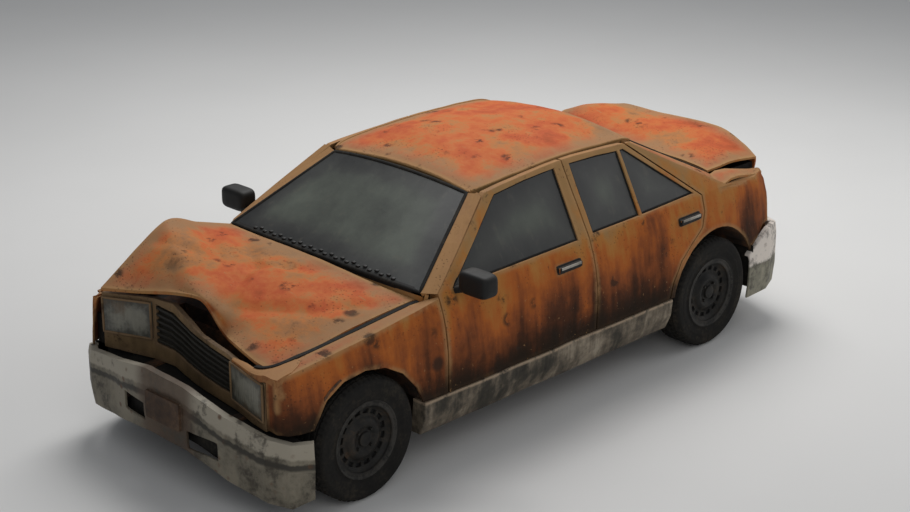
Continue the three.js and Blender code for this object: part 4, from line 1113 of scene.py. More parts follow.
@dataclass(frozen=True)
class RustedSteel:
    """Bare chassis steel: dark scaly rust with grease."""

    name: str = "rusted_steel"
    stops: tuple = (
        (0.36, (0.010, 0.008, 0.007)), (0.47, (0.035, 0.022, 0.015)), (0.55, (0.095, 0.045, 0.022)),
        (0.64, (0.19, 0.085, 0.036)),
    )

    def build(self) -> bpy.types.Material:
        """Makes the material."""
        g = Graph(self.name)
        broad, fine = g.noise(6, 7, 0.66), g.noise(45, 5, 0.7)
        colour = g.ramp(g.sum((broad, 0.65), (fine, 0.35)), self.stops)
        relief = g.sum((broad, 0.5), (fine, 0.7))
        return g.finish(colour, g.sum((fine, 0.4), (0.5, 1.0)), relief, 0.5, 0.003, metal=0.1)


@dataclass(frozen=True)
class SunkenCloth:
    """Seat cloth with a fine twill, faded on top and stained by damp."""

    name: str = "sunken_cloth"
    weave: float = 420.0

    def build(self) -> bpy.types.Material:
        """Makes the material."""
        g = Graph(self.name)
        up = g.span(g.axes(g.normals)[2], -0.2, 0.9)
        broad, fine = g.noise(7, 6, 0.66), g.noise(120, 3, 0.6)
        wave = g.add(
            "ShaderNodeTexWave",
            {"Vector": g.coordinates, "Scale": self.weave / 20, "Distortion": 0.6, "Detail": 1.0},
            bands_direction="DIAGONAL",
        ).outputs[1]
        value = g.sum((broad, 0.62), (wave, 0.12), (fine, 0.18), (up, 0.08))
        colour = g.ramp(value, (
            (0.34, (0.028, 0.022, 0.016)), (0.48, (0.085, 0.070, 0.050)),
            (0.60, (0.15, 0.125, 0.09)), (0.72, (0.21, 0.175, 0.12)),
        ))
        return g.finish(colour, 0.95, g.sum((wave, 0.6), (fine, 0.6)), 0.35, 0.0012, specular=0.1)


class Finish(Protocol):
    """What every finish can do."""

    def build(self) -> bpy.types.Material:
        """Makes the material."""


def made_by(finish: Finish) -> bpy.types.Material:
    """A field that holds the material of a finish."""
    return field(default_factory=finish.build)


@dataclass
class Finishes:
    """One material for each finish on the car."""

    paint: bpy.types.Material = made_by(RustedPaint())
    # A darker copy of the rusted paint for the nose panel and the lamp rims: painted shade from the
    # bonnet's overhang.
    nose: bpy.types.Material = made_by(RustedPaint(
        "sooted_nose",
        tops=((0.38, (0.030, 0.020, 0.013)), (0.50, (0.10, 0.060, 0.032)), (0.62, (0.22, 0.125, 0.06))),
        sides=((0.36, (0.050, 0.033, 0.017)), (0.50, (0.17, 0.11, 0.054)), (0.62, (0.29, 0.185, 0.09))),
        worn=(0.20, 0.13, 0.075), border=(0.13, 0.085, 0.050), fall=0.12, hem_low=0.20, hem_high=0.50,
    ))
    sill: bpy.types.Material = made_by(SootySill())
    # Pale steel for the handle's bar: its light colour is a painted highlight on the handle's top.
    bare: bpy.types.Material = made_by(RustedSteel("scraped_metal", (
        (0.36, (0.16, 0.145, 0.12)), (0.50, (0.36, 0.335, 0.29)), (0.62, (0.52, 0.49, 0.43)),
    )))
    front_bumper: bpy.types.Material = made_by(WornBumper("front_bumper_skin"))
    rear_bumper: bpy.types.Material = made_by(WornBumper(
        "rear_bumper_skin", (0.80, 0.72, 0.64), (0.15, 0.14, 0.105), 0.0, 0.46, (-0.4, -0.2),
    ))
    glass: bpy.types.Material = made_by(CloudedGlass())
    plastic: bpy.types.Material = made_by(DryPlastic())
    slats: bpy.types.Material = made_by(DryPlastic(
        "sooted_slats", (0.022, 0.019, 0.014), (0.046, 0.040, 0.029),
    ))
    rubber: bpy.types.Material = made_by(PerishedRubber())
    rim: bpy.types.Material = made_by(SootedSteel())
    lens: bpy.types.Material = made_by(DullLens("lamp_lens"))
    red_lens: bpy.types.Material = made_by(DullLens(
        "tail_lens", (0.035, 0.010, 0.007), (0.20, 0.035, 0.022), (0.06, 0.035, 0.02),
    ))
    steel: bpy.types.Material = made_by(RustedSteel())
    plate: bpy.types.Material = made_by(RustedSteel("plate_steel", (
        (0.36, (0.03, 0.018, 0.012)), (0.50, (0.075, 0.042, 0.024)), (0.62, (0.14, 0.085, 0.05)),
    )))
    cloth: bpy.types.Material = made_by(SunkenCloth())


# Body


@dataclass
class SubAssembly:
    """A part of the car that is built in one go, in the finishes that it is given."""

    finishes: Finishes

    def build(self) -> None:
        """Builds and dresses every piece of it."""
        raise NotImplementedError


def read_at(grid: Array, u: Array, v: Array) -> Array:
    """A grid of points read between its points.

    Args:
        grid: Rows by columns by 3.
        u: Share of the way through the rows, for each place.
        v: Share of the way through the columns.

    Returns:
        A point for each place, weighted from the four around it.
    """
    i, j = u * (grid.shape[0] - 1), v * (grid.shape[1] - 1)
    i0 = np.clip(np.floor(i).astype(int), 0, grid.shape[0] - 2)
    j0 = np.clip(np.floor(j).astype(int), 0, grid.shape[1] - 2)
    s, t = (i - i0)[..., None], (j - j0)[..., None]
    near = grid[i0, j0] * (1 - t) + grid[i0, j0 + 1] * t
    far = grid[i0 + 1, j0] * (1 - t) + grid[i0 + 1, j0 + 1] * t
    return near * (1 - s) + far * s


@dataclass
class Bonnet(SubAssembly):
    """The crumpled bonnet, buckled up at its right front corner."""

    # Columns: x at the back and at the front, then y and z of each station between them.
    rows: tuple = (
        (-0.700, -0.680, -0.888, 0.915, -1.110, 0.985, -1.330, 1.044, -1.745, 0.800),
        (-0.450, -0.450, -0.915, 0.925, -1.180, 0.962, -1.440, 0.992, -1.672, 0.828),
        (-0.200, -0.200, -0.928, 0.932, -1.230, 0.935, -1.530, 0.935, -1.620, 0.872),
        (-0.030, -0.030, -0.932, 0.934, -1.250, 0.925, -1.570, 0.893, -1.612, 0.880),
        (0.120, 0.110, -0.932, 0.930, -1.250, 0.905, -1.530, 0.830, -1.605, 0.752),
        (0.300, 0.280, -0.925, 0.915, -1.260, 0.885, -1.500, 0.815, -1.672, 0.762),
        (0.500, 0.470, -0.908, 0.893, -1.270, 0.858, -1.500, 0.795, -1.700, 0.735),
        (0.682, 0.605, -0.880, 0.874, -1.280, 0.832, -1.500, 0.782, -1.712, 0.734),
    )
    creases: tuple = (
        Crease((0.04, -1.56), (-0.10, -1.22), 0.050, 0.016),
        Crease((-0.10, -1.22), (-0.42, -1.02), 0.045, 0.012),
        Crease((-0.10, -1.22), (0.16, -0.98), 0.045, 0.011),
        Crease((0.06, -1.52), (0.42, -1.30), 0.050, 0.013),
        Crease((0.42, -1.30), (0.60, -1.04), 0.040, 0.009),
        Crease((-0.62, -1.46), (-0.30, -1.34), 0.045, 0.012),
        Crease((-0.55, -1.18), (-0.24, -1.30), 0.040, 0.008),
    )
    sheet: float = 0.004
    frame_depth: float = 0.012
    wide: int = 141
    long: int = 101
    # Shares of the width and length that the round left front corner takes.
    corner: tuple = (0.075, 0.115)

    def build(self) -> None:
        """Builds the bonnet: its skin follows the rows, less the creases, over a pressed frame."""
        u, v = np.meshgrid(np.linspace(0, 1, self.wide), np.linspace(0, 1, self.long), indexing="ij")
        border = np.minimum.reduce([u, 1 - u, v, 1 - v])
        width, length = self.corner
        du, dv = np.maximum(u - 1 + width, 0) / width, np.maximum(v - 1 + length, 0) / length
        pull = np.maximum(du, dv) / np.maximum(np.hypot(du, dv), 1e-9)
        near = (du > 0) & (dv > 0)
        top = read_at(
            patch(self.rows, self.wide, self.long, 0.75),
            np.where(near, 1 - width + width * du * pull, u),
            np.where(near, 1 - length + length * dv * pull, v),
        )
        flat = top.reshape(-1, 3)
        inside = np.clip(border / 0.05, 0, 1)
        sink = sum(crease.sink(flat) for crease in self.creases) + 1.6 * ripple(flat)
        top[..., 2] -= (np.maximum(sink, -0.004).reshape(u.shape) + 0.001) * (0.25 + 0.75 * inside)
        ribs = np.maximum.reduce([
            np.exp(-(((u - 0.5) / 0.035) ** 2)), np.exp(-(((v - 0.5) / 0.04) ** 2)),
            np.exp(-(((u - v * 0.5 - 0.05) / 0.03) ** 2)),
            np.exp(-(((1 - u - v * 0.5 - 0.05) / 0.03) ** 2)),
            1 - np.clip(border / 0.06, 0, 1),
        ])
        under = top - np.stack([0 * u, 0 * u, self.sheet + self.frame_depth * ribs], -1)
        bonnet = make("bonnet_skin", shell(top, under), 30)
        rim_distance(bonnet, border_of(top))
        place(bonnet, self.finishes.paint, "bonnet", Slot.RUST, "hood")


@dataclass
class BootLid(SubAssembly):
    """The boot lid, sprung up at its back corners, with its turned down rear face."""

    # Columns: x at the front and at the back, then y and z of each station between them.
    rows: tuple = (
        (-0.600, -0.560, 1.510, 0.955, 1.640, 1.035, 1.985, 0.960),
        (-0.500, -0.470, 1.520, 0.966, 1.730, 1.060, 2.050, 1.010),
        (-0.210, -0.210, 1.530, 0.974, 1.780, 1.035, 2.056, 1.010),
        (0.250, 0.250, 1.530, 0.974, 1.780, 1.020, 2.056, 1.020),
        (0.500, 0.480, 1.520, 0.964, 1.760, 0.990, 2.010, 0.972),
        (0.606, 0.612, 1.510, 0.952, 1.740, 0.955, 1.962, 0.930),
    )
    flange: float = 0.070
    # How far the rear face leans in at its foot, and bulges in its middle.
    lean: float = 0.012
    bulge: float = 0.006
    sheet: float = 0.012
    wide: int = 101
    long: int = 61

    def build(self) -> None:
        """Builds the lid: a curved top and a rear face hung from its back edge."""
        top = patch(self.rows, self.wide, self.long, 0.8)
        top[..., 2] -= sunk(top.reshape(-1, 3), Facing.TOP).reshape(top.shape[:2])
        drop = np.linspace(0, 1, 12)[None, :, None]
        back = top[:, -1:] - np.array([0, self.lean, self.flange]) * drop - [0, 0, 0.001]
        back[..., 1:2] += self.bulge * np.sin(np.pi * drop)
        rear = shell(back, back - [0, self.sheet, 0])
        lid = make("boot_lid_skin", merged([shell(top, top - [0, 0, self.sheet]), rear]), 30)
        rim_distance(lid, border_of(top))
        place(lid, self.finishes.paint, "boot_lid", Slot.RUST, "trunk_lid")


@dataclass
class Roof(SubAssembly):
    """The roof skin with its two rain gutters and the header over the screen."""

    # Columns: y, half the width, then the height of the edge and of the crown over it.
    rows: tuple = (
        (-0.310, 0.503, 1.246, 0.042), (-0.225, 0.528, 1.262, 0.052), (0.0, 0.534, 1.280, 0.074),
        (0.350, 0.534, 1.290, 0.070), (0.800, 0.530, 1.275, 0.062), (0.935, 0.503, 1.240, 0.045),
    )
    power: float = 2.2
    sheet: float = 0.0138
    gutter: float = 0.007
    header: float = 0.011
    wide: int = 91
    long: int = 121

    def build(self) -> None:
        """Builds the roof: its height falls from the crown by a power of the place across."""
        y, half, edge, crown = smoothed(self.rows, self.long).T[..., None]
        across = np.linspace(-1, 1, self.wide)[None]
        height = edge + crown * (1 - np.abs(across) ** self.power)
        top = drawn(np.stack([across * half, y + 0 * across, height], -1))
        top[..., 2] -= sunk(top.reshape(-1, 3), Facing.TOP, 0.001).reshape(top.shape[:2])
        parts = [shell(top, top - [0, 0, self.sheet])]
        for column in (0, -1):
            path = top[2:-2, column] + [0.0, 0.0, 0.001]
            parts.append(swept(path, UP, ring(self.gutter, 8)))
        header = top[0, 1:-1] + [0, self.header * 0.5, 0.0015 - self.header]
        parts.append(swept(header, UP, ring(self.header, 12)))
        roof = make("roof_skin", merged(parts), 30)
        rim_distance(roof, border_of(top))
        place(roof, self.finishes.paint, "body", Slot.RUST, "roof")


@dataclass
class BodyPanels(SubAssembly):
    """Fenders, rear quarters, sills, nose and tail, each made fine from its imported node."""

    cell: float = 0.022
    edge: float = 0.0028
    sill_edge: float = 0.006
    panels: tuple = (
        ("fender_front_left", Facing.SIDE), ("fender_front_right", Facing.SIDE),
        ("quarter_rear_left", Facing.SIDE), ("quarter_rear_right", Facing.SIDE),
        ("nose_panel", Facing.END), ("tail_panel", Facing.END),
    )

    def build(self) -> None:
        """Builds each panel and its finish."""
        for node, facing in self.panels:
            panel = refined(node, node + "_skin", self.cell, self.edge, facing)
            # The nose panel takes the darker copy of the paint, its painted shade under the bonnet.
            finish = self.finishes.nose if node == "nose_panel" else self.finishes.paint
            place(panel, finish, "body", Slot.RUST, node)
        for side in Side:
            node = "sill_" + side.word
            sill = refined(node, node + "_skin", self.cell, self.sill_edge, Facing.SIDE)
            place(sill, self.finishes.sill, "body", Slot.DARK, node)


@dataclass
class Doors(SubAssembly):
    """The four doors with their handles' cups of painted shade and highlight, inner cards and mirrors."""

    cell: float = 0.022
    edge: float = 0.0028
    # Columns: end of the car, then y and z of the handle, or first and last y of the card.
    handles: tuple = (("front", 0.105, 0.810), ("rear", 1.106, 0.812))
    cards: tuple = (("front", -0.70, 0.23), ("rear", 0.36, 0.90))
    # The cup is a dark sheet of painted shade over the handle's hollow; the pull is a pale bar painted as
    # the highlight on the handle's top half.
    # Width, height, rise above the middle and lift off the door.
    cup: tuple = (0.184, 0.040, 0.0, 0.0012)
    pull: tuple = (0.150, 0.013, 0.007, 0.0030)
    cup_corner: float = 0.014
    cup_rim: float = 0.0035
    mirror_half: Place = (0.096, 0.056, 0.060)
    card_low: float = 0.46
    card_high: float = 0.86

    def build(self) -> None:
        """Builds every door and what it carries."""
        for side in Side:
            for end, y, z in self.handles:
                node = f"door_{end}_{side.word}"
                door = refined(node, node + "_skin", self.cell, self.edge, Facing.SIDE)
                place(door, self.finishes.paint, body_with(node), Slot.RUST, node)
                self.handle_cup(node, side, y, z)
            for end, start, stop in self.cards:
                self.card(end, start, stop, side)
            node = "mirror_" + side.word
            mirror = make(node + "_housing", self.mirror(node, side), 50)
            place(mirror, self.finishes.plastic, body_with(node), Slot.PLASTIC, node)

    def mirror(self, node: str, side: Side) -> Part:
        """A rounded housing with a sunk face to the rear, and the foot that holds it to the door.

        Args:
            node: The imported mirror, in whose outer, rear and upper corner the housing sits.
            side: Side of the car.

        Returns:
            Points and faces.
        """
        low, high = corners_of(node)
        out = high[0] if side is Side.LEFT else -low[0]
        half = np.array(self.mirror_half)
        centre = np.array([out, high[1], high[2]]) - half - [0.001, 0.001, 0]
        centre[0] *= side.value
        points, faces = globe(half, 0.42, 28)
        back = np.clip((points[:, 1] / half[1] - 0.72) / 0.2, 0, 1)
        inner = np.clip((0.80 - np.abs(points[:, [0, 2]] / half[[0, 2]]).max(1)) / 0.08, 0, 1)
        points[:, 1] -= 0.010 * back * inner
        foot = centre + [-side.value * 0.115, -0.030, -0.052]
        path = foot + (centre + [0, 0, -0.012] - foot) * np.linspace(0, 1, 9)[:, None]
        arm = swept(path, UP, rounded(0.060, 0.036, 0.014, 4))
        return merged([(points + centre, faces), arm])

    def handle_cup(self, node: str, side: Side, y: float, z: float) -> None:
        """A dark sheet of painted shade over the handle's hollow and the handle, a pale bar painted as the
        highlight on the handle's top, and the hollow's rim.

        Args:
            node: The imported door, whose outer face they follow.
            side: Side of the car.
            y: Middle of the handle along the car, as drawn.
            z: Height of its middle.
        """
        body = body_with(node)
        for name, (width, height, rise, lift), finish, slot in (
            # Painted shade: a dark sheet over the hollow and the handle. Painted highlight: a pale bar on
            # the handle's top half.
            ("recess", self.cup, self.finishes.plastic, Slot.PLASTIC),
            ("pull", self.pull, self.finishes.bare, Slot.RIM),
        ):
            y_grid, z_grid = np.meshgrid(
                np.linspace(-width / 2, width / 2, 61) + y + SHIFT_Y,
                np.linspace(-height / 2, height / 2, 17) + z + rise, indexing="ij",
            )
            places = np.stack([y_grid.ravel(), z_grid.ravel()], 1)
            x = reach(node, 0, side.value, places).reshape(y_grid.shape)
            face, back = (
                np.stack([x + side.value * out, y_grid, z_grid], -1) for out in (lift, -0.003)
            )
            place(make(f"{node}_{name}", shell(face, back), 50), finish, body, slot)
        places = rounded(self.cup[0], self.cup[1], self.cup_corner, 5) + [y + SHIFT_Y, z]
        path = np.column_stack([reach(node, 0, side.value, places) - side.value * 0.0010, places])
        rim = swept(path, side.value * np.array([1.0, 0, 0]), ring(self.cup_rim, 8), True)
        place(make(node + "_cup", rim), self.finishes.plastic, body, Slot.PLASTIC)

    def card(self, end: str, start: float, stop: float, side: Side) -> None:
        """The trim card on the inside of a door, with its armrest swelling out of it.

        Args:
            end: Whether the door is the front or the rear one.
            start: First y of the card, as drawn.
            stop: Last y of the card, as drawn.
            side: Side of the car.
        """
        node = f"door_{end}_{side.word}"
        y, z = np.meshgrid(
            np.linspace(start, stop, 41) + SHIFT_Y, np.linspace(self.card_low, self.card_high, 25),
            indexing="ij",
        )
        inner = reach(node, 0, -side.value, np.stack([y.ravel(), z.ravel()], 1)).reshape(y.shape)
        u, v = (y - y.min()) / np.ptp(y), (z - z.min()) / np.ptp(z)
        rest = np.exp(-(((v - 0.62) / 0.10) ** 4)) * np.exp(-(((u - 0.5) / 0.36) ** 6))
        pocket = np.exp(-(((v - 0.18) / 0.12) ** 4)) * np.exp(-(((u - 0.45) / 0.32) ** 6))
        rim = np.clip(np.minimum.reduce([u, 1 - u, v, 1 - v]) / 0.05, 0, 1)
        out = 0.004 + 0.010 * rim**0.5 + 0.022 * rest + 0.008 * pocket
        face, back = (
            np.stack([inner - side.value * thick, y, z], -1) for thick in (out, -0.003)
        )
        piece = make(node + "_card", shell(face, back), 50)
        place(piece, self.finishes.cloth, body_with(node), Slot.CLOTH)


# Glass


def front_outline(node: str, way: Array) -> Array:
    """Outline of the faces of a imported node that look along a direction, in order.

    Args:
        node: Name of the node.
        way: Direction that the faces look along.

    Returns:
        The outline's corners.
    """
    bm = bmesh.new()
    bm.from_mesh(frame["nodes"][node].data)
    bmesh.ops.remove_doubles(bm, verts=bm.verts, dist=1e-5)
    facing = {f for f in bm.faces if f.normal.dot(Vector(way)) > 0.5}
    edges = [e for e in bm.edges if sum(f in facing for f in e.link_faces) == 1]
    links: dict[int, list[int]] = {}
    for e in edges:
        a, b = (v.index for v in e.verts)
        links.setdefault(a, []).append(b)
        links.setdefault(b, []).append(a)
    bm.verts.ensure_lookup_table()
    start = edges[0].verts[0].index
    order, last = [start], -1
    while True:
        ahead = [k for k in links[order[-1]] if k != last][0]
        last = order[-1]
        if ahead == start:
            break
        order.append(ahead)
    outline = np.array([bm.verts[k].co[:] for k in order])
    bm.free()
    return outline


@dataclass
class Glazing(SubAssembly):
    """Every pane with its rubber seal, and the scuttle grille."""

    panes: tuple = ("glass_front", "glass_rear", "glass_quarter")
    seal: float = 0.007
    screen_seal: float = 0.011
    strip: float = 0.012
    # First and last louvre along the screen's foot, of 67 places across.
    louvres: tuple = (7, 60)
    louvre_half: Place = (0.0125, 0.0105, 0.005)

    def build(self) -> None:
        """Builds the panes and what holds them."""
        for side in Side:
            for pane in self.panes:
                self.pane(f"{pane}_{side.word}", np.array([side.value, 0, 0.3]), self.seal)
        self.pane("windshield", np.array([0, -0.5, 0.8]), self.screen_seal)
        self.pane("rear_window", np.array([0, 0.5, 0.8]), self.screen_seal)
        self.scuttle()

    def pane(self, node: str, way: Array, seal: float) -> None:
        """A dirty pane and the seal that runs round its edge.

        Args:
            node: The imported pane.
            way: Direction that it looks along, roughly.
            seal: Half the width of the seal.
        """
        glass = refined(node, node + "_pane", 0.05, 0.0, None, 20)
        place(glass, self.finishes.glass, body_with(node), Slot.GLASS, node)
        outline = front_outline(node, way)
        inward = outline.mean(0) - outline
        inward /= np.linalg.norm(inward, axis=1, keepdims=True)
        path = round_path(outline + inward * seal * 0.7)
        normal = way / np.linalg.norm(way)
        strip = make(node + "_seal", swept(path, normal, ring(seal, 8) * [1.0, 0.55], True), 60)
        place(strip, self.finishes.rubber, body_with(node), Slot.PLASTIC)

    def scuttle(self) -> None:
        """The dark strip at the foot of the screen, with a row of vent louvres on the glass."""
        x = np.linspace(-0.66, 0.66, 67)
        bow = 1 - (x / 0.712) ** 2
        front = drawn(np.stack([x, -0.868 - 0.034 * bow + 0.004, 0.893 + 0.012 * bow], 1))
        foot = drawn(np.stack([x, -0.862 - 0.034 * bow, 0 * x], 1))
        share = np.linspace(0, 1, 7)
        places = (foot[:, None, :2] + self.strip * share[:, None] * np.array([0, 1])).reshape(-1, 2)
        height = reach("windshield", 2, 1, places).reshape(len(x), len(share))
        on_glass = np.concatenate([places.reshape(len(x), -1, 2), height[..., None] + 0.002], -1)
        top = np.concatenate([front[:, None] + [0, 0, 0.003], on_glass], 1)
        parts = [shell(top, top - [0, 0, 0.008])]
        louvres = np.arange(self.louvres[0], self.louvres[1], 2)
        spots = foot[louvres] + [0, self.strip, 0]
        spots[:, 1] += np.where(louvres % 4 == 1, 0.014, 0.004)
        spots[:, 2] = reach("windshield", 2, 1, spots[:, :2]) + 0.002
        for spot in spots:
            points, faces = globe(np.array(self.louvre_half), 0.6, 8)
            parts.append((points + spot, faces))
        place(make("scuttle_grille", merged(parts)), self.finishes.plastic, "body", Slot.PLASTIC)


# Ends


def band_of(piece: bpy.types.Object) -> None:
    """Keeps each point's share of the piece's height at its place across as its band.

    Args:
        piece: The piece, whose lowest and highest points are taken in strips and smoothed.
    """
    points = points_of(piece)
    places = np.round(points[:, 0] / 0.05).astype(int)
    places -= places.min()
    low, high = np.full(places.max() + 1, np.inf), np.full(places.max() + 1, -np.inf)
    np.minimum.at(low, places, points[:, 2])
    np.maximum.at(high, places, points[:, 2])
    span_low = np.convolve(np.pad(low, 2, "edge"), np.ones(5) / 5, "valid")
    span_high = np.convolve(np.pad(high, 2, "edge"), np.ones(5) / 5, "valid")
    share = (points[:, 2] - span_low[places]) / (span_high - span_low)[places]
    paint(piece, "band", np.clip(share, 0, 1))


def heights_at(outline: Array, x: float) -> tuple[float, float]:
    """Lowest and highest z of an outline at a place across.

    Args:
        outline: Corners in order.
        x: The place.

    Returns:
        The two heights.
    """
    ends = np.roll(outline, -1, 0)
    run = ends[:, 0] - outline[:, 0]
    steep = np.abs(run) > 1e-6
    share = (x - outline[steep, 0]) / run[steep]
    hit = (share >= -1e-6) & (share <= 1 + 1e-6)
    heights = outline[steep, 2] + share * (ends[steep, 2] - outline[steep, 2])
    return heights[hit].min(), heights[hit].max()


@dataclass
class Ends(SubAssembly):
    """Bumpers, lamps, grille and blank plates."""

    front_plate: tuple = ((0.0, -1.9118, 0.400), 0.262, 0.142)
    rear_plate: tuple = ((0.0, 1.992, 0.700), 0.500, 0.112)
    plate_depth: float = 0.014
    # The lamps' rim and its soft inner edge, the crown of the glass, and its flutes' pitch and depth.
    rim: float = 0.010
    rim_edge: float = 0.004
    crown: float = 0.006
    flute: tuple = (0.020, 0.0018)
    lens_depth: float = 0.045

    def build(self) -> None:
        """Builds the front and the rear end."""
        bumpers = {"bumper_front": self.finishes.front_bumper, "bumper_rear": self.finishes.rear_bumper}
        for node, finish in bumpers.items():
            bumper = refined(node, node + "_skin", 0.02, 0.006, Facing.END)
            band_of(bumper)
            place(bumper, finish, "body", Slot.PALE, node)
        for side in Side:
            self.lamp("headlight_" + side.word, -1, self.finishes.lens, Slot.LAMP)
            self.lamp("taillight_" + side.word, 1, self.finishes.red_lens, Slot.TAIL)
        grille = refined("grille", "grille_slats", 0.03, 0.0015, Facing.END)
        place(grille, self.finishes.slats, "body", Slot.PLASTIC, "grille")
        for name, (spot, width, height) in (("front", self.front_plate), ("rear", self.rear_plate)):
            path = drawn([spot, spot]) + [[0, 0, 0], [0, self.plate_depth, 0]]
            plate = swept(path, UP, rounded(width, height, 0.010, 4))
            place(make(name + "_plate_blank", plate), self.finishes.plate, "body", Slot.DARK)

    def lamp(
        self, node: str, way: int, finish: bpy.types.Material, slot: Slot
    ) -> None:
        """A lamp: fluted lens in a dark rim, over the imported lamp's place.

        Args:
            node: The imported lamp.
            way: Sign of the Y that it looks along.
            finish: The lens material.
            slot: Material slot of the lens.
        """
        outline = front_outline(node, np.array([0, way, 0.0]))
        low, high = corners_of(node)
        x = np.linspace(low[0] + 0.001, high[0] - 0.001, 97)
        z0, z1 = np.array([heights_at(outline, value) for value in x]).T
        order = np.argsort(outline[:, 0])
        y = np.interp(x, outline[order, 0], outline[order, 1])
        share = np.linspace(0, 1, 33)[None]
        z = z0[:, None] + (z1 - z0)[:, None] * share
        u = (x - x[0])[:, None] / (x[-1] - x[0])
        rim = np.minimum(np.minimum(u, 1 - u) * (x[-1] - x[0]), np.minimum(share, 1 - share) * 0.19)
        glass = np.clip((rim - self.rim) / self.rim_edge, 0, 1)
        pitch, depth = self.flute
        flutes = depth * np.abs(np.sin(np.pi * (x - x[0]) / pitch))[:, None] * glass
        crown = self.crown * np.sin(np.pi * u) * np.sin(np.pi * share)
        out = way * (crown * glass + flutes + 0.002 * (1 - glass) - 0.002)
        face = np.stack([x[:, None] + 0 * z, y[:, None] + out, z], -1)
        back = face.copy()
        back[..., 1] = (y - way * self.lens_depth)[:, None]
        lens = make(node + "_lens", shell(face, back), 40)
        rim_distance(lens, outline)
        place(lens, finish, "body", slot, node)
        section = rounded(0.012, 0.010, 0.003, 3)
        bezel = swept(round_path(outline), np.array([0, way, 0.0]), section, True)
        # The rim takes the nose's darker copy of the paint, with its painted shade.
        place(make(node + "_bezel", bezel), self.finishes.nose, "body", Slot.DARK)

# Wheels


